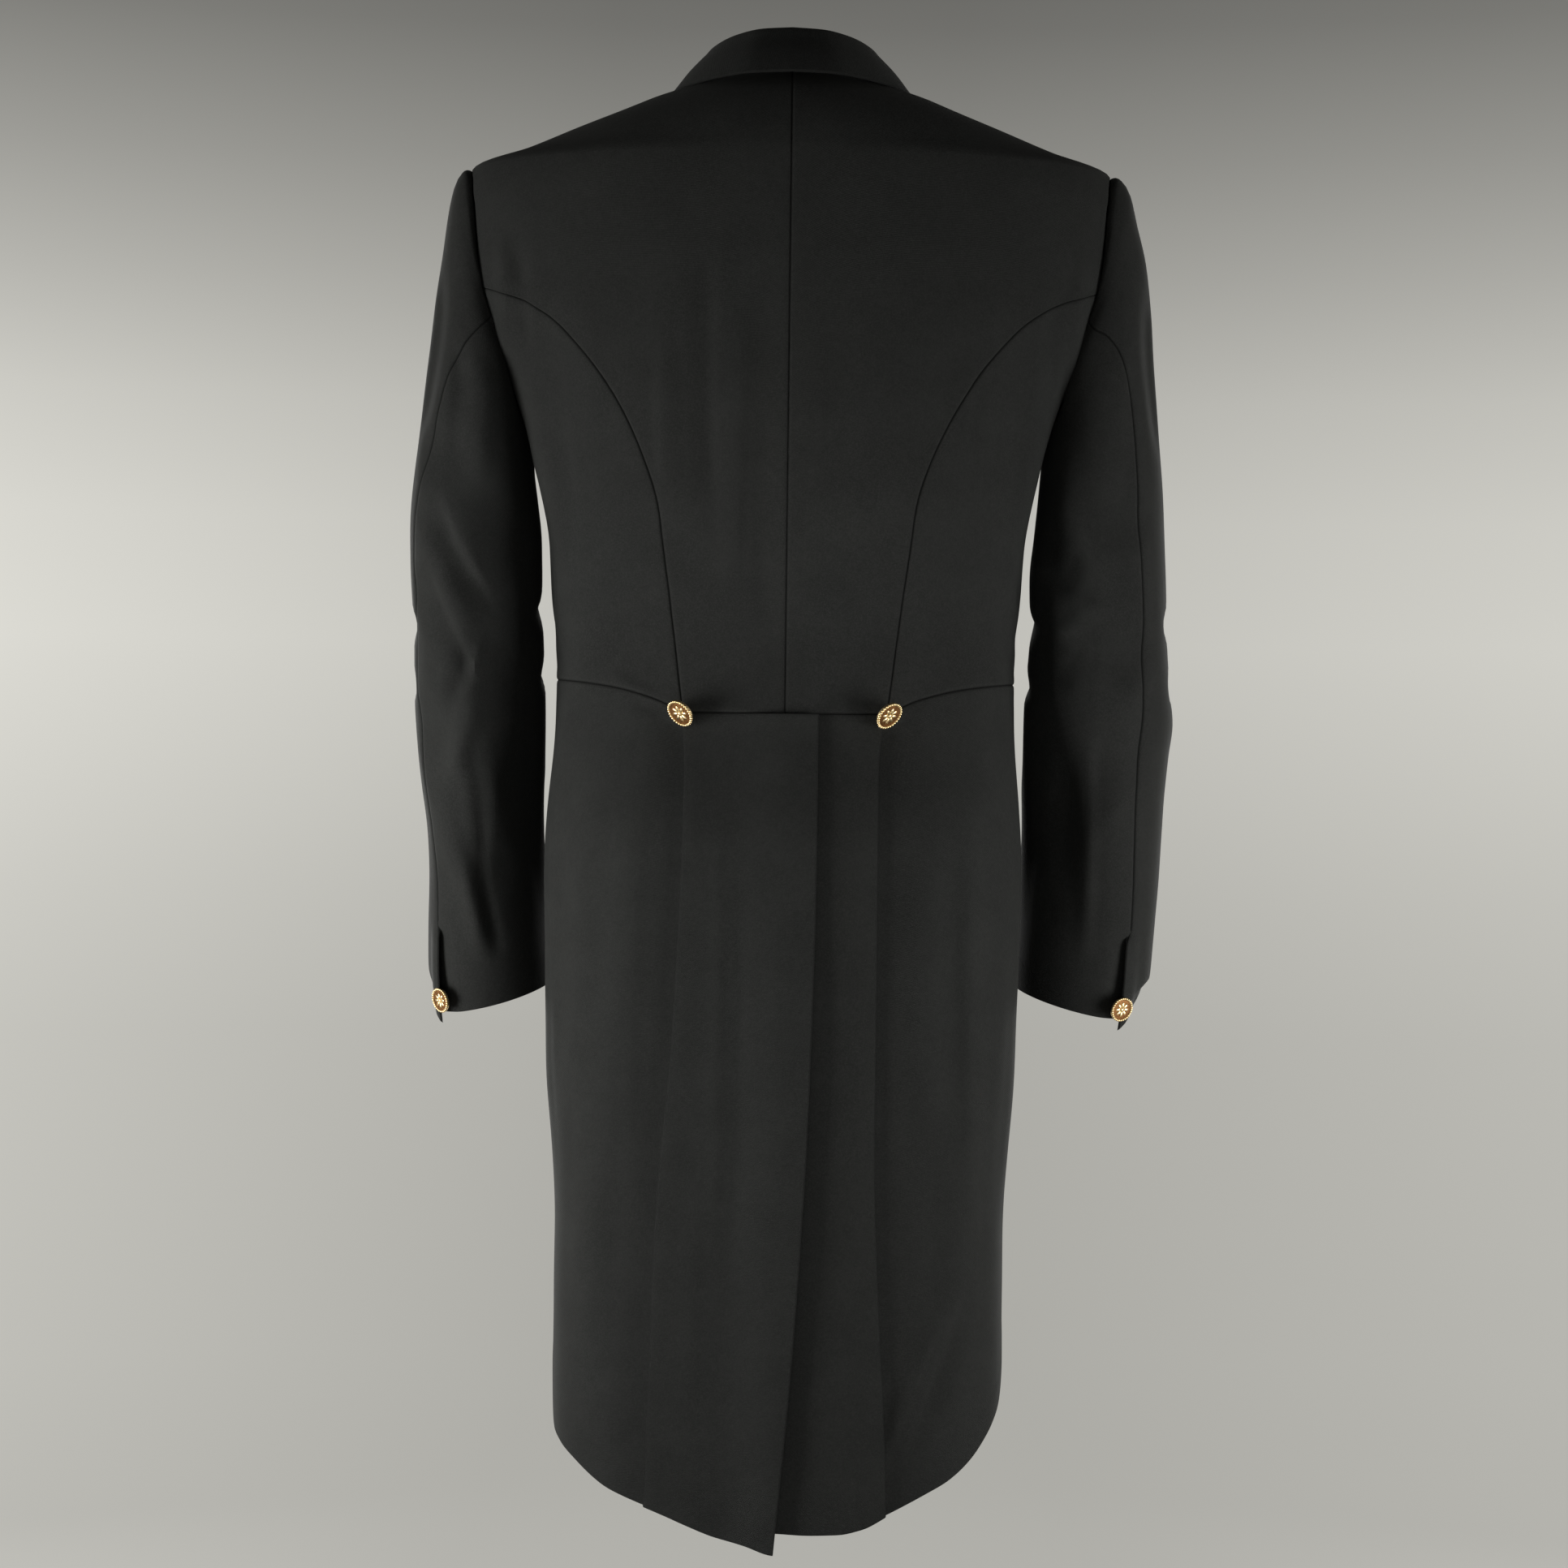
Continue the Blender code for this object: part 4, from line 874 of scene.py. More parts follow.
def waist_line():
    """The back's waist seam and then the side body's, as (angle, z)."""
    seam = [(float(angle_at(x, z)), z) for x, z in WAIST[1:]]
    seam.append((UNDERARM_ANGLE_LOW, WAIST_SIDE_Z))
    corner = (float(angle_at(smooth(SIDE_SEAM, BACK_ROWS[-1]), BACK_ROWS[-1])), BACK_ROWS[-1])
    back = np.linspace((CENTRE_BACK, WAIST_BACK), corner, 25)
    return back, dense(resampled(seam, 6))


def back_edges():
    """Top, low, centre and outer edges of a back."""
    shoulder = dense([(0.0, z) for z in SHOULDER_ROWS])
    outer = joined(shoulder, armhole(0, 6), side_seam())
    centre_z = outer[:, 1] + neck_z(CENTRE_BACK) * (1 - step(-outer[:, 1], 0, NECK_EASE))
    seam_from = len(outer) - len(side_seam())
    share = np.linspace(0, 1, len(outer) - seam_from)
    centre_z[seam_from:] = BACK_ROWS[0] + (WAIST_BACK - BACK_ROWS[0]) * share
    centre = np.stack([np.full(len(outer), CENTRE_BACK), centre_z], axis=1)
    angles = np.linspace(CENTRE_BACK, 0, 97)
    top = np.stack([angles, neck_z(angles)], axis=1)
    return top, waist_line()[0], centre, outer


def build_backs():
    """The two back panels, which meet at the centre back."""
    edges = {"top": SEWN, "low": SEWN, "first": SEWN, "last": SEWN}
    grid = patch_grid(*back_edges())
    z = grid[:, -1, 1]
    outer = np.where(z >= ARMHOLE_BACK[0][1], -1.0, 1.0)
    for side, word in SIDES:
        laps = {"first": side, "last": outer, "low": 1.0}
        lay("back_" + word, side, grid, np.zeros(grid.shape[:2]), edges, laps)


def build_side_bodies():
    """The panels between the curved back seams and the underarms."""
    edges = {"top": SEWN, "low": SEWN, "first": SEWN, "last": SEWN}
    first = side_seam()
    z = np.linspace(ARMHOLE_LOW[-1][1], WAIST_SIDE_Z, len(first))
    last = np.stack([underarm_angle(z), z], axis=1)
    grid = patch_grid(armhole(6, 12), waist_line()[1], first, last)
    laps = {"top": 1.0, "first": -1.0, "last": 1.0, "low": 1.0}
    for side, word in SIDES:
        lay("side_body_" + word, side, grid, np.zeros(grid.shape[:2]), edges, laps)


def roll_x(z):
    """x of the roll line at z."""
    return ROLL_TOP_X + (ROLL_LOW_X - ROLL_TOP_X) * np.minimum(1.0, z / ROLL_LOW_Z)


def front_rise(side, angle, z):
    """The left front laps over the right one near the centre."""
    if side < 0:
        return np.zeros(np.shape(angle))
    return FRONT_LAP * step(-angle, *FRONT_LAP_ANGLES) * step(-z, *FRONT_LAP_TOP)


def front_edges():
    """Outer and inner edges of a forepart."""
    shoulder = dense([(0.0, z) for z in FRONT_ROWS])
    hole = armhole_loop()[12 * PER:][::-1]
    z = np.array(FRONT_LOW_ROWS, float)
    underarm = dense(np.stack([underarm_angle(z), z], axis=1))
    outer = joined(shoulder, hole, underarm)
    drop = (WAIST_FRONT_Z - WAIST_SIDE_Z) * step(-outer[:, 1], FRONT_EASE, -WAIST_SIDE_Z)
    edge_z = outer[:, 1] + drop
    inner = np.stack([front_angle_at(roll_x(edge_z), edge_z), edge_z], axis=1)
    return outer, inner


def straight(start, end, count=25):
    return np.linspace(start, end, count)


def build_fronts():
    """The foreparts, from the underarm to the roll line and front edge."""
    outer, inner = front_edges()
    grid = patch_grid(straight(outer[0], inner[0]), straight(outer[-1], inner[-1]), outer, inner)
    angle, z = grid[..., 0], grid[..., 1]
    below_roll = step(-z, -ROLL_LOW_Z - ROLL_FADE, -ROLL_LOW_Z)
    edges = {"top": SEWN, "low": SEWN, "first": SEWN, "last": (0.0, below_roll[:, -1:], 0.0)}
    outer_z = z[:, 0]
    lap = np.where(outer_z <= ARMHOLE_FRONT[-1][1], -1.0, 1.0)
    for side, word in SIDES:
        lay("front_" + word, side, grid, front_rise(side, angle, z), edges,
            {"first": lap, "low": 1.0})


def build_lapels():
    """The peaked lapels, rolled out from the foreparts' edges."""
    for side, word in SIDES:
        low = LAPEL[side][-1][0]
        rows = math.ceil((LAPEL_TOP_Z - low) / STEP)
        z_row = LAPEL_TOP_Z + (low - LAPEL_TOP_Z) * parts(np.array([LAPEL_TOP_Z - low]), rows)[0]
        width = smooth(LAPEL[side], z_row)
        across = parts(np.full(len(z_row), width.max()), math.ceil(width.max() / STEP))[0][1:]
        t = np.broadcast_to(across, (len(z_row), len(across)))
        x = roll_x(z_row)[:, None] + ROLL_END + width[:, None] * t
        base_z = np.broadcast_to(z_row[:, None], t.shape)
        lift = (smooth(LAPEL_TOP, t) - LAPEL_TOP_Z) * step(base_z, LAPEL_TOP_EASE, LAPEL_TOP_Z)
        # The roll: half a turn from the forepart's edge up to the face of the lapel
        turn = np.linspace(0, math.pi, ROLL_POINTS)[:-1]
        roll = np.broadcast_to(roll_x(z_row)[:, None], (len(z_row), len(turn)))
        x = np.concatenate([roll + ROLL_START - ROLL_RADIUS * np.sin(turn), x], axis=1)
        up_face = LAPEL_LIFT + LAPEL_BELLY * bump((t - LAPEL_BELLY_AT) / LAPEL_BELLY_HALF) + LAPEL_EDGE * t
        up_roll = np.broadcast_to(LAPEL_LIFT / 2 * (1 - np.cos(turn)), roll.shape)
        up = np.concatenate([up_roll, up_face], axis=1)
        gorge = (smooth(LAPEL_TOP, 0.0) - LAPEL_TOP_Z) * step(z_row, LAPEL_TOP_EASE, LAPEL_TOP_Z)
        z = np.concatenate(
            [np.broadcast_to((z_row + gorge)[:, None], roll.shape), base_z + lift], axis=1
        )
        grid = np.stack([front_angle_at(x, z), z], axis=-1)
        edges = {"top": FOLDED, "low": FOLDED, "last": FOLDED}
        lay("lapel_" + word, side, grid, front_rise(side, grid[..., 0], z) + up, edges, {})


def pleat_angle(side, z, past=0.0):
    """Angle of the side pleat, or of a line past it towards the centre."""
    return angle_at(smooth(PLEAT[side], z) - past, z)


def hem_z(side, x):
    return smooth(HEM[side], x)


def pleat_hem_x(side):
    return float(smooth(PLEAT[side], PLEAT_HEM_Z))


def build_tails():
    """The tails behind. The left one laps over the right one at the vent."""
    count = 17 * PER + 1
    for side, word in SIDES:
        pleat_low = float(hem_z(side, pleat_hem_x(side)))
        z = np.linspace(WAIST_BACK, pleat_low, count)
        last = np.stack([pleat_angle(side, z), z], axis=1)
        end_x = VENT[-1][1] if side > 0 else -UNDERLAP
        z = np.linspace(WAIST_BACK, float(hem_z(side, end_x)), count)
        x = smooth(VENT, z) if side > 0 else np.full(count, -UNDERLAP)
        first = np.stack([angle_at(x, z), z], axis=1)
        top = np.stack([np.linspace(first[0][0], last[0][0], 49), np.full(49, WAIST_BACK)], axis=1)
        low_x = np.linspace(end_x, pleat_hem_x(side), 97)
        low_z = hem_z(side, low_x)
        low = np.stack([angle_at(low_x, low_z), low_z], axis=1)
        grid = patch_grid(top, low, first, last)
        x = bare(grid[..., 0], grid[..., 1])[..., 0]
        rise = PLEAT_RAISE * bump((smooth(PLEAT[side], grid[..., 1]) - x) / PLEAT_WIDTH)
        below = step(-grid[..., 1], *WAIST_EASE)
        if side < 0:
            rise = rise * below - UNDERLAP_SINK * (1 - step(x, 0, UNDERLAP_EASE)) * below
        else:
            stand = VENT_STAND + VENT_STAND_MORE * step(-grid[..., 1], *VENT_STAND_DOWN)
            stand += VENT_LIFT * step(-grid[..., 1], *VENT_LIFT_DOWN)
            rise = rise * below + stand * (1 - step(x, *VENT_EASE))
        edges = {"top": PRESSED, "low": HEMMED, "first": FOLDED, "last": FOLDED}
        lay("tail_" + word, side, grid, rise, edges, {"top": -1.0})


def build_skirts():
    """The skirts, tucked under the tails at the side pleats."""
    side_low = waist_line()[1]
    outer, inner = front_edges()
    front_low = straight(outer[-1], inner[-1])
    for side, word in SIDES:
        waist_tuck = (float(pleat_angle(side, WAIST_BACK, HOW_FAR_TUCKED)), WAIST_BACK)
        start_x = pleat_hem_x(side)
        top = joined(straight(waist_tuck, side_low[0], 13), side_low, front_low)
        hem = [(start_x, float(hem_z(side, start_x)))]
        hem += [(x, z) for x, z in HEM[side] if x > start_x + 3]
        low = [(float(angle_at(x, z)), z) for x, z in hem]
        low += [CUTAWAY_START[side]] + list(CUTAWAY[:CUTAWAY_CORNER])
        low = evenly(dense(low), 160)
        tuck_z = low[0][1] + SKIRT_TUCK_DROP
        tuck = (float(pleat_angle(side, tuck_z, HOW_FAR_TUCKED)), tuck_z)
        low = joined(straight(tuck, low[0], 13), low)
        front = list(reversed(CUTAWAY[CUTAWAY_CORNER - 1:]))
        front[0] = tuple(front_low[-1])
        last = evenly(dense(front), 180)
        z = np.linspace(WAIST_BACK, tuck_z, 181)
        first = np.stack([pleat_angle(side, z, HOW_FAR_TUCKED), z], axis=1)
        top, low = evenly(top, 170), evenly(low, 170)
        grid = patch_grid(top, low, first, last)
        angle, z = grid[..., 0], grid[..., 1]
        x = bare(angle, z)[..., 0]
        below = grid[:1, :, 1] - z
        from_pleat = x - smooth(PLEAT[side], z)
        sunk = SKIRT_SINK * (1 - step(from_pleat, 0, SKIRT_EASE)) * step(below, *SKIRT_SINK_DOWN)
        rise = np.where(angle > SKIRT_BACK_ANGLE, -sunk, 0.0)
        if side > 0:
            lap = step(-angle, *FRONT_LAP_ANGLES) * (1 - step(-z, *FRONT_LAP_END))
            rise = rise + FRONT_LAP * lap
        edges = {"top": SEWN, "low": HEMMED, "first": FOLDED, "last": FOLDED}
        lay("skirt_" + word, side, grid, rise, edges, {"top": -1.0})


def build_collar():
    """Stand and fall in one: a hairpin section carried round the neck."""
    table = tuple((k,) + base + fold + edge for k, (base, fold, edge) in enumerate(COLLAR))
    span = len(COLLAR) - 1
    at = span * (2 * parts(np.array([COLLAR_LENGTH]), COLLAR_STEPS)[0] - 1)
    values = np.stack([smooth(table, np.abs(at), column) for column in range(1, 10)], axis=-1)
    base, fold, edge = values[:, 0:3], values[:, 3:6], values[:, 6:9]
    out = unit(edge - base)
    lift = np.array((0, 0, 1.0))
    section = []
    for q in (0, 1 / 3, 2 / 3):
        section.append(base + (fold - base) * q - out * STAND_BOW * math.sin(math.pi * q))
    for away, up in COLLAR_FOLD:
        section.append(fold + out * away + lift * up)
    for q in np.linspace(0.28, 1, 4):
        sag = FALL_SAG * math.sin(math.pi * q)
        section.append(fold + (edge - fold) * q + lift * sag + out * sag * 0.6)
    section = np.stack(section, axis=1) * np.stack(
        [np.where(at >= 0, 1.0, -1.0), np.ones(len(at)), np.ones(len(at))], axis=-1
    )[:, None]
    columns = parts(np.array([SECTION_LENGTH]), SECTION_STEPS)[0]
    points = np.stack([line_at(dense(row), columns) for row in section])
    normals = unit(np.cross(np.gradient(points, axis=0), np.gradient(points, axis=1)))
    edges = {"top": FOLDED, "low": FOLDED, "last": FOLDED}
    relief, shade, rounding = edge_relief(points, edges)
    points = points + normals * (relief + COLLAR_UNEVEN * drift(points))[..., None]
    made = cloth_object("cloth_collar", points, normals, shade, rounding, {})
    hand_over(made, "collar", points)


def body_side(side, y, z):
    """How far out the body form reaches at this y and z."""
    _, back, front, power, middle = ring(z)
    depth = np.where(y > middle, back - middle, front + middle)
    ratio = np.minimum(np.abs(y - middle) / depth, 1.0)
    angle = np.degrees(np.arcsin(ratio ** (power / 2)))
    point, _ = form(side, np.where(y > middle, angle, -angle), z)
    return np.where(ratio >= 1, 0.0, np.abs(point[..., 0]))


def sleeve_rings(side):
    """Rings of a sleeve from the armhole to the cuff, on the +X side, over one turn of columns that
    starts at the front seam. The last two values of each point are its own z and its angle round."""
    loop = np.concatenate([armhole_loop()[:-1]] * 2)
    start = (SLEEVE_COUNT - SLEEVE_SEAM_AT) * PER
    loop = loop[start:start + SLEEVE_COUNT * PER + 1]
    column = np.arange(len(loop)) / PER - SLEEVE_SEAM_AT
    flip = np.array((side, 1, 1))
    points = form(side, loop[:, 0], loop[:, 1])[0] * flip
    tip = form(side, *map(float, ARMHOLE_BACK[0]))[0] * flip
    low = form(side, *map(float, ARMHOLE_LOW[-1]))[0] * flip
    centre = (tip + low) / 2
    half = np.linalg.norm(tip - low) / 2
    axis = (tip - low) / (2 * half)
    depth = smooth(SLEEVE_DEPTH, centre[2], 2)
    relative = points - centre
    along = relative @ axis / half
    across = relative[:, 1] / depth
    flat = relative - np.outer(relative @ axis, axis) - np.outer(relative[:, 1], (0, 1, 0))
    angles = np.degrees(np.unwrap(np.arctan2(across, along)))
    angles -= 360 * round(float(np.interp(0, column, angles)) / 360)
    radii = np.hypot(along, across)
    own = np.stack([points[:, 2], angles], axis=1)
    rings = [np.concatenate([points, own], axis=1)]
    for index, (blend, z_out, z_in) in enumerate(SLEEVE_RINGS):
        x_out = smooth(SLEEVE[side], z_out)
        if index < len(HEAD_X[side]):
            x_out = HEAD_X[side][index]
        outer = np.array((float(x_out), 0, z_out))
        inner = np.array((float(smooth(SLEEVE[side], z_in, 2)), 0, z_in))
        middle = (outer + inner) / 2
        z_mid = middle[2]
        middle[1] = smooth(SLEEVE_DEPTH, z_mid)
        reach = (outer - inner) / 2
        deep = smooth(SLEEVE_DEPTH, z_mid, 2)
        fall = smooth(SLEEVE_DEPTH, z_mid, 3)
        back_seam = smooth(BACK_SEAM[side], z_mid)
        front_seam = smooth(FRONT_SEAM, z_mid)
        turn = np.array((-SLEEVE_SEAM_AT, SLEEVE_SEAM_AT, SLEEVE_COUNT - SLEEVE_SEAM_AT))
        target = np.interp(column, turn, (front_seam - 360, back_seam, front_seam))
        angle = angles + (target - angles) * step(blend, 0, 1)
        radius = 1 + (radii - 1) * (1 - blend)
        ca = np.cos(np.radians(angle)) * radius
        sa = np.sin(np.radians(angle)) * radius
        puff = HEAD_PUFF * bump((index - PUFF_RING) / PUFF_HALF) * step(ca, *PUFF_TURN) * (1 - blend)
        point = middle + np.outer(ca, reach)
        point[:, 0] += puff
        point[:, 1] += deep * sa
        point[:, 2] -= fall * deep * sa
        point += flat * (1 - blend) ** 2
        z_here = middle[2] + reach[2] * ca
        rings.append(np.concatenate([point, np.stack([z_here, angle], axis=1)], axis=1))
    return np.array(rings)


def sleeve_at(rings, row, column):
    """The sleeve between its rings, smooth down it, at fractional rows and columns."""
    at = np.clip((column + SLEEVE_SEAM_AT) * PER, 0, rings.shape[1] - 1.001)
    low = at.astype(int)
    share = (at - low)[..., None]
    k = np.clip(row.astype(int), 0, len(rings) - 2)

    def value(index):
        index = np.clip(index, 0, len(rings) - 1)
        return rings[index, low] * (1 - share) + rings[index, low + 1] * share

    before, start, end, after = (value(k + shift) for shift in (-1, 0, 1, 2))
    first = np.where((k == 0)[..., None], end - start, (end - before) / 2)
    last = np.where((k == len(rings) - 2)[..., None], end - start, (after - start) / 2)
    t = (row - k)[..., None]
    return (
        start * (1 + 2 * t) * (1 - t) ** 2 + first * t * (1 - t) ** 2
        + end * t * t * (3 - 2 * t) + last * t * t * (t - 1)
    )


def sleeve_rows(rings):
    """Fractional ring numbers for the rows of a sleeve's mesh."""
    middle = np.linalg.norm(np.diff(rings[:, ::PER, :3], axis=0), axis=2).mean(axis=1)
    rows = list(HEAD_ROWS)
    for k in range(1, len(middle)):
        count = math.ceil(middle[k] / (STEP + 0.5))
        rows += list(k + np.arange(count) / count)
    end = len(middle)
    rows = [row for row in rows if (end - row) * middle[-1] > EDGE_STEPS[-1] + 1]
    rows += [end - away / middle[-1] for away in reversed(EDGE_STEPS)]
    return np.array(rows)


def sleeve_fold(side, z, angle):
    """Height of the drag folds of a sleeve."""
    total = np.zeros(z.shape)
    here = np.stack([z, np.radians(angle) * SLEEVE_FOLD_RADIUS], axis=-1)
    for which, z_a, a_a, z_b, a_b, half, height in SLEEVE_FOLDS:
        if which != side:
            continue
        start = np.array((z_a, math.radians(a_a) * SLEEVE_FOLD_RADIUS))
        end = np.array((z_b, math.radians(a_b) * SLEEVE_FOLD_RADIUS))
        run = end - start
        t = np.clip(((here - start) @ run) / (run @ run), 0, 1)
        away = np.linalg.norm(here - start - t[..., None] * run, axis=-1) / half
        total += height * bump(away / 1.3)
    return total


def sleeve_piece(side, rings, first, last):
    """(points, normals) of a sleeve piece between two columns, with its folds."""
    rows = sleeve_rows(rings)
    ring_length = np.linalg.norm(np.diff(rings[:, ::4, :3], axis=1), axis=2).sum(axis=1)
    widths = ring_length * abs(last - first) / SLEEVE_COUNT
    count = math.ceil(widths.max() / STEP)
    part = parts(np.interp(rows, np.arange(len(widths)), widths), count)
    column = first + (last - first) * part
    row = np.broadcast_to(rows[:, None], column.shape)
    full = sleeve_at(rings, row, column)
    flip = np.array((side, 1, 1))
    points = full[..., :3] * flip
    sign = side if last > first else -side
    down = np.gradient(points, axis=0)
    normals = unit(np.cross(down, np.gradient(points, axis=1))) * sign
    height = sleeve_fold(side, full[..., 3], full[..., 4]) * step(row, *FOLD_RINGS)
    run = runs(points)[1]
    rope = ROPE_HEIGHT * bump((run - ROPE_AT) / ROPE_HALF)
    height += rope * step(np.cos(np.radians(full[..., 4])), *ROPE_TURN)
    return points, normals, height


def settle_sleeve(side, points):
    """Keeps the sleeve outside the body, and its edge tight on the armhole."""
    clear = SLEEVE_CLEAR * step(runs(points)[1], 0, SLEEVE_EASE)
    body = body_side(side, points[..., 1], points[..., 2])
    out = np.maximum(points[..., 0] * side, body + clear)
    moved = points.copy()
    moved[..., 0] = out * side
    return moved


def build_sleeves():
    """Top and under sleeves, with the vent and its lap at each cuff."""
    for side, word in SIDES:
        rings = sleeve_rings(side)
        edges = {"top": SEWN, "low": HEMMED, "first": SEWN, "last": SEWN}
        for name, first, last in (
            ("sleeve_top_", SLEEVE_SEAM_AT, -SLEEVE_SEAM_AT),
            ("sleeve_under_", SLEEVE_SEAM_AT, SLEEVE_COUNT - SLEEVE_SEAM_AT),
        ):
            points, normals, height = sleeve_piece(side, rings, first, last)
            across, down = runs(points)
            from_cuff = down[-1:] - down
            vent = 1 - step(from_cuff, VENT_LENGTH - VENT_FADE, VENT_LENGTH)
            near = dict(edges)
            near["first"] = (1 - vent, vent, 0.0)
            relief, shade, rounding = edge_relief(points, near)
            points = inset(points, normals)
            height += relief + crease_height("sleeve", points, normals) + drift(points)
            lower = 1 - step(from_cuff, 0, VENT_LENGTH)
            if name == "sleeve_top_":
                points = points + normals * height[..., None]
                share = np.clip(1 - across / VENT_EDGE, 0, 1)
                back = unit(points[:, :1] - points[:, 4:5])
                points = points + back * (vent * VENT_LAP * share)[..., None]
                lift = vent * (VENT_RISE + VENT_RISE_MORE * lower) * step(share, 0, VENT_RISE_FULL)
                points = points + normals * lift[..., None]
                hem = 1 - step(from_cuff, 0, HEM_SLANT_UP)
                slant = HEM_SLANT * np.minimum(across / HEM_SLANT_OVER, 1)
                slant *= 1 - step(across, *HEM_SLANT_END)
                points[..., 2] += hem * (slant - VENT_POINT * share)
                laps = {"top": -1.0, "first": 1 - np.round(vent[:, 0]), "last": 1.0}
            else:
                sunk = vent * (UNDERLAP_SINK + UNDER_SINK * lower) * (1 - step(across, 0, UNDER_EASE))
                points = points + normals * (height - sunk)[..., None]
                share = np.clip(1 - across / VENT_EDGE, 0, 1)
                back = unit(points[:, :1] - points[:, 4:5])
                points = points + back * (vent * UNDER_LAP * share)[..., None]
                laps = {"top": -1.0, "first": -1.0, "last": -1.0}
            points = settle_sleeve(side, points)
            piece = name + word
            made = cloth_object("cloth_" + piece, points, normals, shade, rounding, laps)
            hand_over(made, piece, points)


def node_tree(name):
    """A new material with its nodes and its shader."""
    made = bpy.data.materials.new(name)
    made.use_nodes = True
    tree = made.node_tree
    return made, tree, tree.nodes["Principled BSDF"]


def noise(tree, vector, scale, detail=3.0, roughness=0.55):
    """Noise at this scale over the vector."""
    node = tree.nodes.new("ShaderNodeTexNoise")
    node.inputs["Scale"].default_value = scale
    node.inputs["Detail"].default_value = detail
    node.inputs["Roughness"].default_value = roughness
    tree.links.new(vector, node.inputs["Vector"])
    return node.outputs["Fac"]


def spread(tree, value, low, high, out_low, out_high):
    """The value with its part from low to high stretched to the out range."""
    node = tree.nodes.new("ShaderNodeMapRange")
    sockets = {"From Min": low, "From Max": high, "To Min": out_low, "To Max": out_high}
    for socket, number in sockets.items():
        node.inputs[socket].default_value = number
    tree.links.new(value, node.inputs["Value"])
    return node.outputs["Result"]


def mixed(tree, share, first, second):
    """Two colours mixed. Each is a socket or a plain colour."""
    node = tree.nodes.new("ShaderNodeMix")
    node.data_type = "RGBA"
    tree.links.new(share, node.inputs["Factor"])
    for socket, value in (("A", first), ("B", second)):
        target = next(s for s in node.inputs if s.name == socket and s.type == "RGBA")
        if isinstance(value, bpy.types.NodeSocket):
            tree.links.new(value, target)
        else:
            target.default_value = (*value, 1)
    return next(s for s in node.outputs if s.type == "RGBA")


def summed(tree, first, second, operation="ADD", amount=None):
    """first and second, or first and an amount, put together by a Math node."""
    node = tree.nodes.new("ShaderNodeMath")
    node.operation = operation
    tree.links.new(first, node.inputs[0])
    if second is None:
        node.inputs[1].default_value = amount
    else:
        tree.links.new(second, node.inputs[1])
    return node.outputs[0]


def relief_on(tree, shader, height, strength, distance):
    """Gives the shader a fine relief."""
    node = tree.nodes.new("ShaderNodeBump")
    node.inputs["Strength"].default_value = strength
    node.inputs["Distance"].default_value = distance
    tree.links.new(height, node.inputs["Height"])
    tree.links.new(node.outputs["Normal"], shader.inputs["Normal"])


def wool():
    """Fine black wool twill with a short nap, with dark seam lines and painted shade in the seam grooves
    and on folded edges and hems.
    """
    made = bpy.data.materials.get("black wool")
    if made:
        return made
    made, tree, shader = node_tree("black wool")
    settings = coat()
    place = tree.nodes.new("ShaderNodeTexCoord").outputs["Object"]
    grain = tree.nodes.new("ShaderNodeUVMap")
    grain.uv_map = "Grain"
    turn = tree.nodes.new("ShaderNodeMapping")
    turn.inputs["Rotation"].default_value = (0, 0, math.radians(58))
    tree.links.new(grain.outputs["UV"], turn.inputs["Vector"])
    twill = tree.nodes.new("ShaderNodeTexWave")
    twill.inputs["Scale"].default_value = 0.314 / settings.twill_pitch
    twill.inputs["Distortion"].default_value = 1.2
    twill.inputs["Detail"].default_value = 2.0
    twill.inputs["Detail Scale"].default_value = 3.0
    tree.links.new(turn.outputs["Vector"], twill.inputs["Vector"])
    cloud = noise(tree, place, 26.0, 4.0, 0.6)
    nap = noise(tree, place, 900.0, 4.0, 0.7)
    lint = noise(tree, place, 260.0, 3.0, 0.6)
    colour = Vector(settings.cloth_colour)
    body = mixed(tree, spread(tree, cloud, 0.35, 0.68, 0, 1), colour * 0.86, colour * 1.14)
    mottled = mixed(tree, spread(tree, lint, 0.4, 0.66, 0, 0.35), body, colour * 0.55)
    fibre = mixed(tree, spread(tree, nap, 0.42, 0.72, 0, 0.62), mottled, colour * 2.2)
    # Painted shade: the Seam attribute darkens the seam grooves, folded edges and hems towards a fifth of
    # the cloth colour
    seam = tree.nodes.new("ShaderNodeAttribute")
    seam.attribute_name = "Seam"
    dark = mixed(tree, spread(tree, seam.outputs["Fac"], 0.15, 0.9, 0, 0.85), fibre, colour * 0.2)
    tree.links.new(dark, shader.inputs["Base Color"])
    tree.links.new(spread(tree, nap, 0.3, 0.7, 0.74, 0.92), shader.inputs["Roughness"])
    height = summed(tree, twill.outputs["Fac"], nap)
    relief_on(tree, shader, height, 0.35, 0.00025)
    shader.inputs["Specular IOR Level"].default_value = 0.14
    shader.inputs["Sheen Weight"].default_value = 0.05
    shader.inputs["Sheen Roughness"].default_value = 0.45
    shader.inputs["Sheen Tint"].default_value = (0.55, 0.55, 0.53, 1)
    return made


def gilt():
    """Polished gilt, a little uneven and softened by wear."""
    made = bpy.data.materials.get("gilt metal")
    if made:
        return made
    made, tree, shader = node_tree("gilt metal")
    place = tree.nodes.new("ShaderNodeTexCoord").outputs["Object"]
    cloud = noise(tree, place, 420.0, 4.0)
    fine = noise(tree, place, 2600.0, 3.0)
    colour = Vector(coat().gilt_colour)
    tone = mixed(tree, spread(tree, cloud, 0.35, 0.65, 0, 1), colour * 0.88, colour * 1.08)
    tree.links.new(tone, shader.inputs["Base Color"])
    tree.links.new(spread(tree, fine, 0.3, 0.7, 0.16, 0.34), shader.inputs["Roughness"])
    relief_on(tree, shader, fine, 0.12, 0.0001)
    shader.inputs["Metallic"].default_value = 1.0
    return made


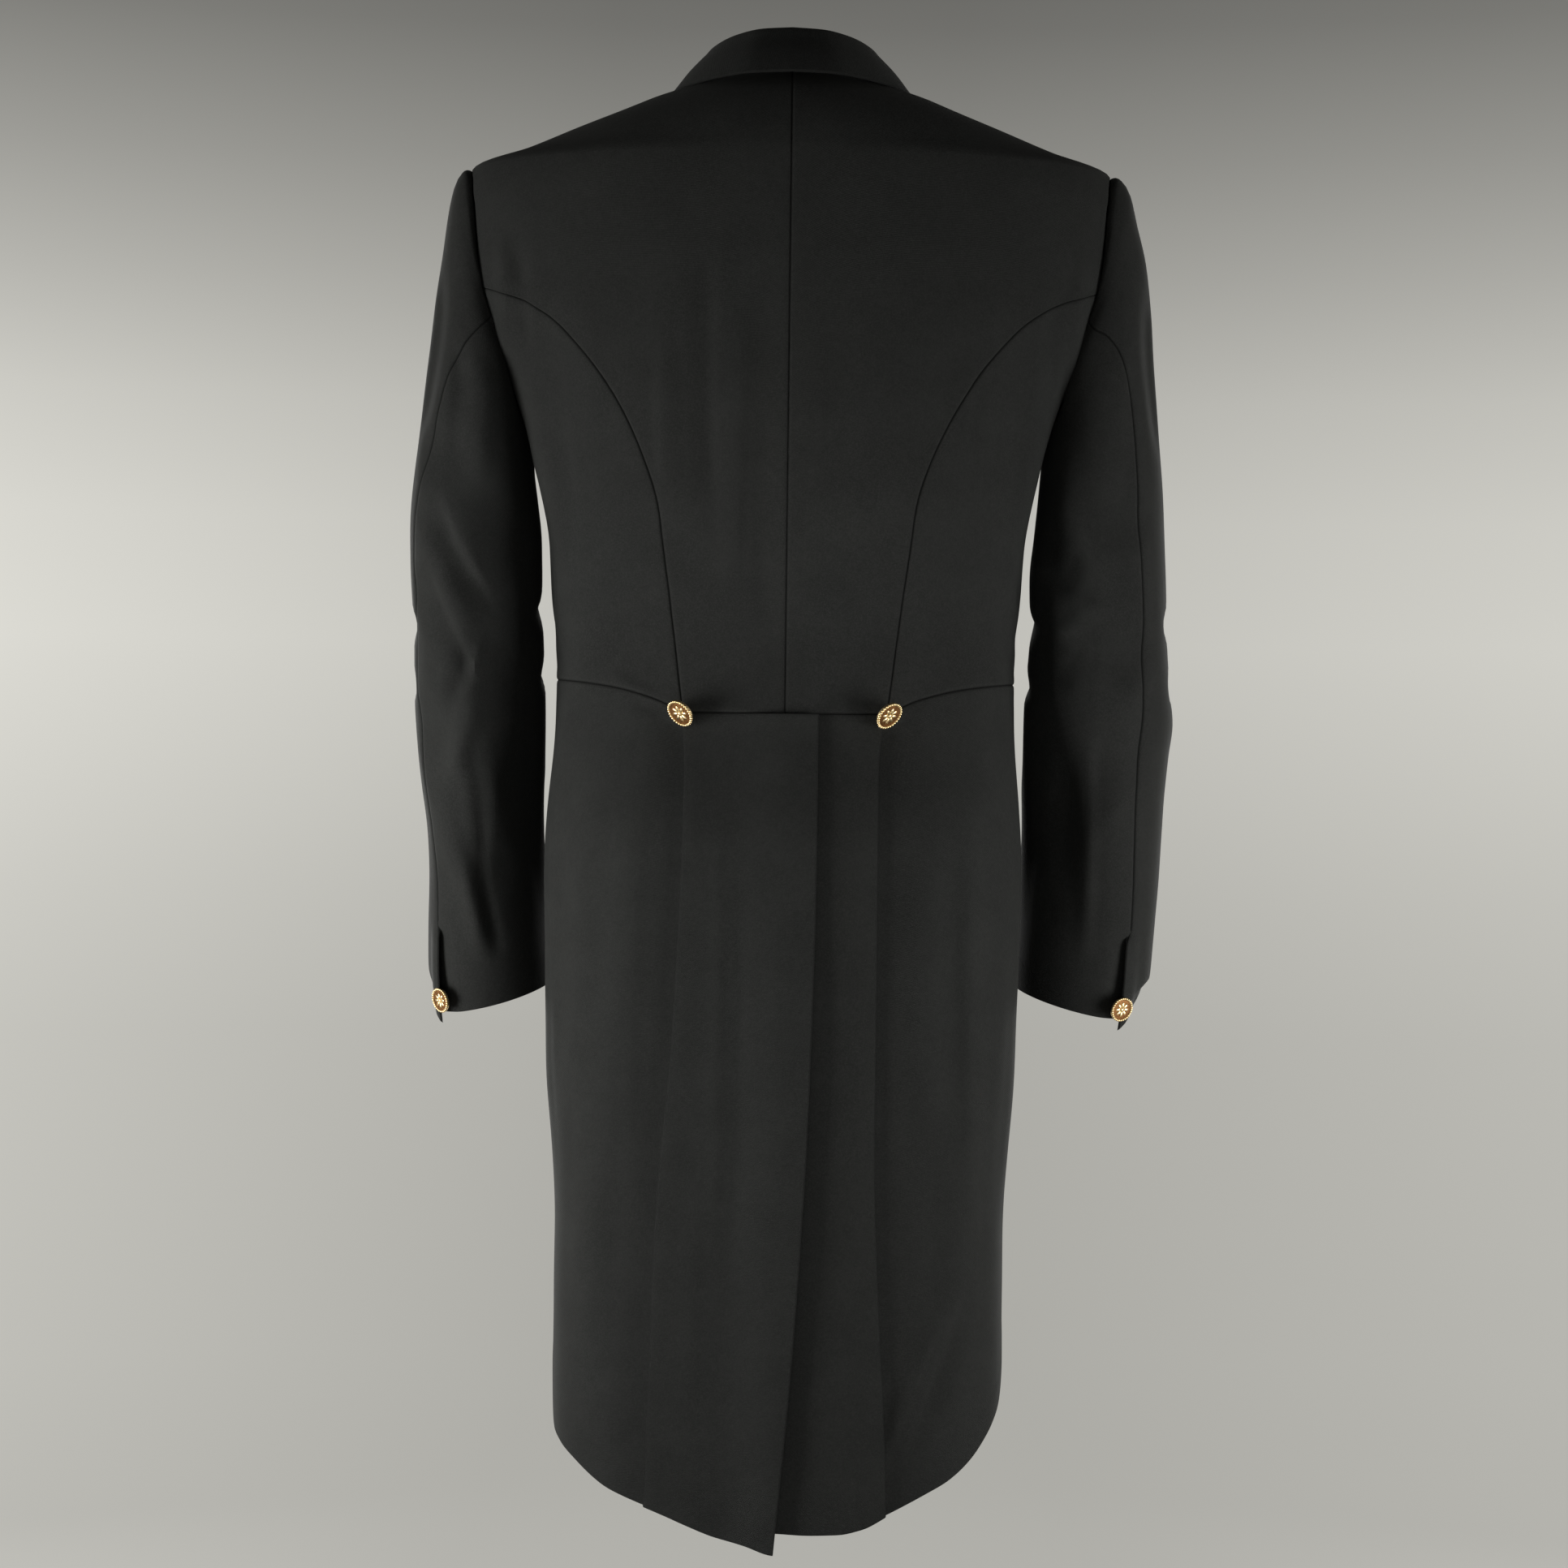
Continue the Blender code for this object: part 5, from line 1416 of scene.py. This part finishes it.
def patina():
    """The dull dark brown field inside a button's rim."""
    made = bpy.data.materials.get("dark field")
    if made:
        return made
    made, tree, shader = node_tree("dark field")
    place = tree.nodes.new("ShaderNodeTexCoord").outputs["Object"]
    cloud = noise(tree, place, 700.0, 4.0)
    colour = Vector(coat().patina_colour)
    tone = mixed(tree, spread(tree, cloud, 0.3, 0.7, 0, 1), colour * 0.6, colour * 1.5)
    tree.links.new(tone, shader.inputs["Base Color"])
    tree.links.new(spread(tree, cloud, 0.3, 0.7, 0.38, 0.6), shader.inputs["Roughness"])
    relief_on(tree, shader, cloud, 0.3, 0.0002)
    shader.inputs["Metallic"].default_value = 0.8
    return made


# Diameters of the buttons, 36 and 31 lines
BUTTON_SIZE, CUFF_BUTTON_SIZE = 22.5, 19.5
BUTTON_NODES = {
    "hip_button_left": BUTTON_SIZE, "hip_button_right": BUTTON_SIZE,
    "cuff_button_left": CUFF_BUTTON_SIZE, "cuff_button_right": CUFF_BUTTON_SIZE,
    "front_button": BUTTON_SIZE,
}
BUTTON_TOP = 3.2
# The plate. Its radius, field and foot inset are parts of the button's radius, the rest is in
# millimetres. A face belongs to the field if its middle is inside it and it faces up
PLATE_RADIUS, PLATE_DEPTH, PLATE_MIDDLE = 0.93, 2.0, 1.1
FIELD_RADIUS, FIELD_FACING = 0.765, 0.1
FOOT_INSET, FOOT_DEPTH, FOOT_FACING = 0.3, 0.5, -0.9
EDGE_ROUND = 0.25
# Beads, petals and boss. Columns: sides, rings, size and distance out as parts of the button's radius,
# height, stretch out, across and up, how many
RAISED_PARTS = (
    (10, 7, 0.115, 0.875, 2.15, (0.95, 0.9, 0.75), 30),
    (12, 8, 0.2, 0.36, 2.3, (1.15, 0.62, 0.3), 8),
    (16, 8, 0.15, 0, 2.45, (1, 1, 0.5), 1),
)
SHANK_RADIUS, SHANK_WIRE, SHANK_MIDDLE = 2.0, 0.55, -1.4
SHANK_STRETCH = (1.1, 1, 0.9)


def pick_faces(made, test):
    """Selects in edit mode the faces that pass the test, and nothing else."""
    edit = bmesh.from_edit_mesh(made.data)
    for element in (*edit.verts, *edit.edges, *edit.faces):
        element.select_set(False)
    for face in edit.faces:
        if test(face):
            face.select_set(True)
    bmesh.update_edit_mesh(made.data)


def button_disc(radius):
    """The round plate: a flat dark field with a softened gilt edge, and a turned foot behind."""
    bpy.ops.object.select_all(action="DESELECT")
    bpy.ops.mesh.primitive_cylinder_add(
        vertices=72, radius=radius * PLATE_RADIUS, depth=PLATE_DEPTH * MM,
        location=(0, 0, PLATE_MIDDLE * MM))
    disc = bpy.context.object
    bpy.ops.object.mode_set(mode="EDIT")
    bpy.ops.mesh.select_mode(type="FACE")
    pick_faces(disc, lambda face: face.normal.z < FOOT_FACING)
    bpy.ops.mesh.inset(thickness=radius * FOOT_INSET)
    bpy.ops.mesh.extrude_region_move(TRANSFORM_OT_translate={"value": (0, 0, -FOOT_DEPTH * MM)})
    bpy.ops.object.mode_set(mode="OBJECT")
    edge = disc.modifiers.new("Edge", "BEVEL")
    edge.width = EDGE_ROUND * MM
    edge.segments = 3
    edge.limit_method = "ANGLE"
    bpy.ops.object.modifier_apply(modifier=edge.name)
    disc.data.materials.append(gilt())
    disc.data.materials.append(patina())
    for polygon in disc.data.polygons:
        middle = polygon.center
        inside = math.hypot(middle.x, middle.y) < radius * FIELD_RADIUS
        polygon.material_index = int(inside and polygon.normal.z > FIELD_FACING)
    return disc


def copied(source, name):
    """A copy with its own mesh."""
    made = bpy.data.objects.new(name, source.data.copy())
    bpy.context.scene.collection.objects.link(made)
    return made


def gilded(stretch):
    """Stretches the primitive that was just added, settles its place and gives it the gilt."""
    made = bpy.context.object
    bpy.ops.object.mode_set(mode="EDIT")
    bpy.ops.mesh.select_all(action="SELECT")
    bpy.ops.transform.resize(value=stretch)
    bpy.ops.object.mode_set(mode="OBJECT")
    bpy.ops.object.transform_apply(location=True, rotation=True, scale=True)
    made.data.materials.append(gilt())
    return made


def wire_shank():
    """The wire loop behind a button."""
    bpy.ops.object.select_all(action="DESELECT")
    bpy.ops.mesh.primitive_torus_add(
        major_segments=20, minor_segments=8, major_radius=SHANK_RADIUS * MM,
        minor_radius=SHANK_WIRE * MM, location=(0, 0, SHANK_MIDDLE * MM),
        rotation=(math.pi / 2, 0, 0))
    return gilded(SHANK_STRETCH)


def button_model(radius):
    """One button at the origin, facing +Z: plate, beaded rim, petals, boss and wire shank."""
    items = [button_disc(radius)]
    for segments, rings, size, away, height, stretch, count in RAISED_PARTS:
        bpy.ops.object.select_all(action="DESELECT")
        bpy.ops.mesh.primitive_uv_sphere_add(
            segments=segments, ring_count=rings, radius=radius * size,
            location=(radius * away, 0, height * MM))
        source = gilded(stretch)
        items.append(source)
        for k in range(1, count):
            again = copied(source, source.name)
            again.data.transform(Matrix.Rotation(math.tau * k / count, 4, "Z"))
            items.append(again)
    items.append(wire_shank())
    choose(*items)
    bpy.ops.object.join()
    bpy.ops.object.transform_apply(location=True, rotation=True, scale=True)
    bpy.ops.object.shade_smooth_by_angle(angle=math.radians(40))
    return bpy.context.object


def button_place(node):
    """Middle and facing of a button, from its solid: the short axis, with the shank behind."""
    points = np.array([v.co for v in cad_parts[node].data.vertices], float)
    middle = points.mean(axis=0)
    values, vectors = np.linalg.eigh(np.cov((points - middle).T))
    spreads = np.argsort(values)
    gap_low = values[spreads[1]] - values[spreads[0]]
    gap_high = values[spreads[2]] - values[spreads[1]]
    facing = vectors[:, spreads[0] if gap_low > gap_high else spreads[2]]
    along = (points - middle) @ facing
    radius = np.linalg.norm(points - middle - np.outer(along, facing), axis=1)
    if radius[along > 0].mean() < radius[along < 0].mean():
        facing = -facing
        along = -along
    return middle + facing * (along.max() - BUTTON_TOP * MM), facing


def build_buttons():
    """A button on each button solid, at its own size, place and facing."""
    model = button_model(BUTTON_SIZE / 2 * MM)
    for node, diameter in BUTTON_NODES.items():
        centre, facing = button_place(node)
        out = Vector(facing)
        side = Vector((0, 0, 1)).cross(out).normalized()
        turn = Matrix((side, out.cross(side), out)).transposed().to_4x4()
        made = copied(model, "gilt_" + node)
        size = Matrix.Scale(diameter / BUTTON_SIZE, 4)
        made.data.transform(Matrix.Translation(centre) @ turn @ size)
        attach(made, "root")
        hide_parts(node)
    bpy.data.objects.remove(model)


# The stage, in metres. The floor is flat as far as its reach and curves up into a round wall
FLOOR_Z, WALL_TOP_Z = -1.5, 6.0
FLOOR_REACH, FLOOR_RINGS = 3.6, 3
WALL_CURVE, WALL_CURVE_RINGS, WALL_SIDES = 1.9, 12, 96
# Painted light of the floor and wall: their glow, darker towards the top and brighter towards the sides,
# stands in for the studio lights on them. Columns: part of the height up them and share of the floor
# colour
GLOW_TOP_Z = 1.6
WALL_SHADES = (
    (0.0, 0.79), (1.0, 0.2), (0.15, 0.81), (0.24, 0.87), (0.33, 0.95), (0.42, 1.02), (0.51, 0.98),
    (0.6, 0.86), (0.69, 0.66), (0.78, 0.48), (0.88, 0.31),
)
# Painted light: where the glow starts to brighten towards the sides and where it is full
GLOW_X_FAR, GLOW_X_NEAR = 1.8, 0.4
LIGHT_SIZE = (0.8, 1.1)
# Columns: name, place, height of the point on the coat it aims at, spread, its setting, share of it
LIGHTS = (
    ("left light", (1.4, 0.6, -0.95), -0.55, 66, "side_light", 1.0),
    ("right light", (-1.4, 0.6, -0.95), -0.55, 66, "side_light", 0.68),
    ("low light", (0.3, 2.3, -1.35), -0.8, 60, "low_light", 1.0),
    ("left front light", (1.3, -2.0, -0.5), -0.5, 160, "front_light", 1.0),
    ("right front light", (-1.3, -2.0, -0.5), -0.5, 160, "front_light", 0.8),
)
AIR_COLOUR = (0.8, 0.81, 0.82, 1)
CAMERA_PLACE, CAMERA_LEAN = (0, 2.6, -0.513), 0.68
LENS, SENSOR = 80.74, 36


def build_floor():
    """A pale floor that curves up into a round wall."""
    profile = [(FLOOR_REACH * k / FLOOR_RINGS, FLOOR_Z) for k in range(FLOOR_RINGS + 1)]
    for k in range(1, WALL_CURVE_RINGS + 1):
        angle = math.pi / 2 * k / WALL_CURVE_RINGS
        out, up = WALL_CURVE * math.sin(angle), WALL_CURVE * (1 - math.cos(angle))
        profile.append((FLOOR_REACH + out, FLOOR_Z + up))
    profile.append((FLOOR_REACH + WALL_CURVE, WALL_TOP_Z))
    edit = bmesh.new()
    line = [edit.verts.new((x, 0, z)) for x, z in profile]
    edges = [edit.edges.new(pair) for pair in zip(line, line[1:])]
    bmesh.ops.spin(
        edit, geom=line + edges, cent=(0, 0, 0), axis=(0, 0, 1), angle=math.tau,
        steps=WALL_SIDES, use_merge=True)
    bmesh.ops.remove_doubles(edit, verts=edit.verts, dist=1e-5)
    bmesh.ops.recalc_face_normals(edit, faces=edit.faces)
    mesh = bpy.data.meshes.new("studio_floor")
    edit.to_mesh(mesh)
    edit.free()
    floor = bpy.data.objects.new("studio_floor", mesh)
    bpy.context.scene.collection.objects.link(floor)
    for polygon in mesh.polygons:
        polygon.use_smooth = True
    mesh.materials.append(paper())
    # The floor and wall's painted glow does not light the coat diffusely
    floor.visible_diffuse = False


def paper():
    """The floor and wall's pale paper, dim of itself, with a glow of painted light that follows their
    height and is brighter towards the sides.
    """
    settings = coat()
    made, tree, shader = node_tree("studio paper")
    place = tree.nodes.new("ShaderNodeTexCoord").outputs["Object"]
    axes = tree.nodes.new("ShaderNodeSeparateXYZ")
    tree.links.new(place, axes.inputs["Vector"])
    ramp = tree.nodes.new("ShaderNodeValToRGB")
    tree.links.new(spread(tree, axes.outputs["Z"], FLOOR_Z, GLOW_TOP_Z, 0, 1), ramp.inputs["Fac"])
    marks = ramp.color_ramp.elements
    tone = Vector(settings.floor_colour)
    for k, (at, share) in enumerate(WALL_SHADES):
        mark = marks[k] if k < 2 else marks.new(at)
        mark.position = at
        mark.color = (*(tone * share), 1)
    cloud = noise(tree, place, 0.6, 2.0)
    shares = spread(tree, cloud, 0.3, 0.7, 0, 1)
    tree.links.new(mixed(tree, shares, tone * 0.12, tone * 0.14), shader.inputs["Base Color"])
    tree.links.new(ramp.outputs["Color"], shader.inputs["Emission Color"])
    # Painted light: the glow is brighter towards the sides, a little more on the +X side, as where the
    # side lights fall
    one_side = spread(tree, axes.outputs["X"], -GLOW_X_FAR, GLOW_X_FAR, 0.92, 1.05)
    sides = summed(tree, axes.outputs["X"], None, "ABSOLUTE", 0)
    both_sides = spread(tree, sides, GLOW_X_NEAR, GLOW_X_FAR, 0.88, 1.12)
    glow = summed(tree, one_side, both_sides, "MULTIPLY")
    glow = summed(tree, glow, None, "MULTIPLY", settings.wall_glow)
    tree.links.new(glow, shader.inputs["Emission Strength"])
    shader.inputs["Roughness"].default_value = 0.95
    shader.inputs["Specular IOR Level"].default_value = 0.1
    return made


def build_lights():
    """The side, low and front lights and the faint light all round."""
    settings = coat()
    for name, place, aim_z, degrees, setting, share in LIGHTS:
        data = bpy.data.lights.new(name, "AREA")
        data.shape = "RECTANGLE"
        data.size, data.size_y = LIGHT_SIZE
        data.spread = math.radians(degrees)
        data.energy = getattr(settings, setting) * share
        lamp = bpy.data.objects.new(name, data)
        lamp.location = place
        aim = Vector((0, 0, aim_z)) - Vector(place)
        lamp.rotation_euler = aim.to_track_quat("-Z", "Y").to_euler()
        lamp.visible_camera = False
        bpy.context.scene.collection.objects.link(lamp)
    world = bpy.data.worlds.new("studio air")
    world.use_nodes = True
    background = world.node_tree.nodes["Background"]
    background.inputs["Color"].default_value = AIR_COLOUR
    background.inputs["Strength"].default_value = settings.air_light
    bpy.context.scene.world = world
    bpy.context.scene.view_settings.view_transform = "Standard"


def build_camera():
    """The camera behind the coat, level and leaning a little."""
    data = bpy.data.cameras.new("camera")
    data.lens = LENS
    data.sensor_width = SENSOR
    camera = bpy.data.objects.new("camera", data)
    bpy.context.scene.collection.objects.link(camera)
    camera.matrix_world = (
        Matrix.Translation(CAMERA_PLACE) @ Matrix.Rotation(math.pi, 4, "Z")
        @ Matrix.Rotation(math.pi / 2, 4, "X")
        @ Matrix.Rotation(math.radians(CAMERA_LEAN), 4, "Z")
    )
    bpy.context.scene.camera = camera


class TailcoatSettings(bpy.types.PropertyGroup):
    """Sizes, colours and lights that a user may change."""

    thickness: bpy.props.FloatProperty(
        name="Cloth thickness", description="Thickness of the cloth", default=0.0015,
        min=0.0008, max=0.003, subtype="DISTANCE", unit="LENGTH")
    seam_depth: bpy.props.FloatProperty(
        name="Seam depth", description="How far the cloth dips at a seam", default=0.0008,
        min=0.0, max=0.002, subtype="DISTANCE", unit="LENGTH")
    pucker: bpy.props.FloatProperty(
        name="Pucker", description="Height of the small waves beside a seam", default=0.00007,
        min=0.0, max=0.001, subtype="DISTANCE", unit="LENGTH")
    twill_pitch: bpy.props.FloatProperty(
        name="Twill pitch", description="Distance between two ribs of the weave", default=0.0011,
        min=0.0003, max=0.005, subtype="DISTANCE", unit="LENGTH")
    crease: bpy.props.FloatProperty(
        name="Creases", description="Strength of the creases", default=1.6, min=0.0, max=2.0)
    cloth_colour: bpy.props.FloatVectorProperty(
        name="Cloth colour", description="Base colour of the wool", default=(0.0215, 0.0222, 0.0205),
        subtype="COLOR", size=3, min=0.0, max=1.0)
    gilt_colour: bpy.props.FloatVectorProperty(
        name="Gilt colour", description="Colour of the button metal", default=(0.9, 0.69, 0.38),
        subtype="COLOR", size=3, min=0.0, max=1.0)
    patina_colour: bpy.props.FloatVectorProperty(
        name="Field colour", description="Colour inside a button's rim", default=(0.16, 0.07, 0.02),
        subtype="COLOR", size=3, min=0.0, max=1.0)
    floor_colour: bpy.props.FloatVectorProperty(
        name="Floor colour", description="Colour of the floor and wall", default=(0.6, 0.592, 0.55),
        subtype="COLOR", size=3, min=0.0, max=1.0)
    side_light: bpy.props.FloatProperty(
        name="Side lights", description="Power of the two lights beside the coat", default=4.3,
        min=0.0, unit="POWER")
    low_light: bpy.props.FloatProperty(
        name="Low light", description="Power of the light behind the camera", default=0.5,
        min=0.0, unit="POWER")
    wall_glow: bpy.props.FloatProperty(
        name="Wall glow", description="Brightness of the floor and wall of their own", default=1.0,
        min=0.0)
    front_light: bpy.props.FloatProperty(
        name="Front lights", description="Power of the two lights on the coat's front", default=13.0,
        min=0.0, unit="POWER")
    air_light: bpy.props.FloatProperty(
        name="Air light", description="Brightness of the light from all round", default=0.02, min=0.0)


class TAILCOAT_OT_backs(bpy.types.Operator):
    """Make the two back panels"""

    bl_idname = "tailcoat.backs"
    bl_label = "Backs"
    bl_options = {"REGISTER", "UNDO"}

    def execute(self, context):
        build_backs()
        return {"FINISHED"}


class TAILCOAT_OT_side_bodies(bpy.types.Operator):
    """Make the two side bodies"""

    bl_idname = "tailcoat.side_bodies"
    bl_label = "Side bodies"
    bl_options = {"REGISTER", "UNDO"}

    def execute(self, context):
        build_side_bodies()
        return {"FINISHED"}


class TAILCOAT_OT_fronts(bpy.types.Operator):
    """Make the two foreparts"""

    bl_idname = "tailcoat.fronts"
    bl_label = "Foreparts"
    bl_options = {"REGISTER", "UNDO"}

    def execute(self, context):
        build_fronts()
        return {"FINISHED"}


class TAILCOAT_OT_lapels(bpy.types.Operator):
    """Make the two lapels"""

    bl_idname = "tailcoat.lapels"
    bl_label = "Lapels"
    bl_options = {"REGISTER", "UNDO"}

    def execute(self, context):
        build_lapels()
        return {"FINISHED"}


class TAILCOAT_OT_tails(bpy.types.Operator):
    """Make the two tails"""

    bl_idname = "tailcoat.tails"
    bl_label = "Tails"
    bl_options = {"REGISTER", "UNDO"}

    def execute(self, context):
        build_tails()
        return {"FINISHED"}


class TAILCOAT_OT_skirts(bpy.types.Operator):
    """Make the two skirts"""

    bl_idname = "tailcoat.skirts"
    bl_label = "Skirts"
    bl_options = {"REGISTER", "UNDO"}

    def execute(self, context):
        build_skirts()
        return {"FINISHED"}


class TAILCOAT_OT_collar(bpy.types.Operator):
    """Make the collar"""

    bl_idname = "tailcoat.collar"
    bl_label = "Collar"
    bl_options = {"REGISTER", "UNDO"}

    def execute(self, context):
        build_collar()
        return {"FINISHED"}


class TAILCOAT_OT_sleeves(bpy.types.Operator):
    """Make the top and under sleeves"""

    bl_idname = "tailcoat.sleeves"
    bl_label = "Sleeves"
    bl_options = {"REGISTER", "UNDO"}

    def execute(self, context):
        build_sleeves()
        return {"FINISHED"}


class TAILCOAT_OT_buttons(bpy.types.Operator):
    """Make the five gilt buttons"""

    bl_idname = "tailcoat.buttons"
    bl_label = "Buttons"
    bl_options = {"REGISTER", "UNDO"}

    def execute(self, context):
        build_buttons()
        return {"FINISHED"}


class TAILCOAT_OT_stage(bpy.types.Operator):
    """Make the floor, the lights and the camera"""

    bl_idname = "tailcoat.stage"
    bl_label = "Stage"
    bl_options = {"REGISTER", "UNDO"}

    def execute(self, context):
        build_floor()
        build_lights()
        build_camera()
        return {"FINISHED"}


OPERATORS = (
    TAILCOAT_OT_backs, TAILCOAT_OT_side_bodies, TAILCOAT_OT_fronts, TAILCOAT_OT_lapels,
    TAILCOAT_OT_tails, TAILCOAT_OT_skirts, TAILCOAT_OT_collar, TAILCOAT_OT_sleeves,
    TAILCOAT_OT_buttons, TAILCOAT_OT_stage,
)


class TAILCOAT_PT_panel(bpy.types.Panel):
    """Sizes, colours and pieces of the tailcoat"""

    bl_label = "Tailcoat"
    bl_idname = "TAILCOAT_PT_panel"
    bl_space_type = "VIEW_3D"
    bl_region_type = "UI"
    bl_category = "Tailcoat"

    def draw(self, context):
        column = self.layout.column()
        for name in TailcoatSettings.__annotations__:
            column.prop(context.scene.tailcoat, name)
        for operator in OPERATORS:
            column.operator(operator.bl_idname)


CLASSES = (TailcoatSettings, *OPERATORS, TAILCOAT_PT_panel)


def register():
    for item in CLASSES:
        bpy.utils.register_class(item)
    bpy.types.Scene.tailcoat = bpy.props.PointerProperty(type=TailcoatSettings)


def unregister():
    del bpy.types.Scene.tailcoat
    for item in reversed(CLASSES):
        bpy.utils.unregister_class(item)


def main():
    register()
    for operator in OPERATORS:
        module, name = operator.bl_idname.split(".")
        getattr(getattr(bpy.ops, module), name)()


if __name__ == "__main__":
    main()
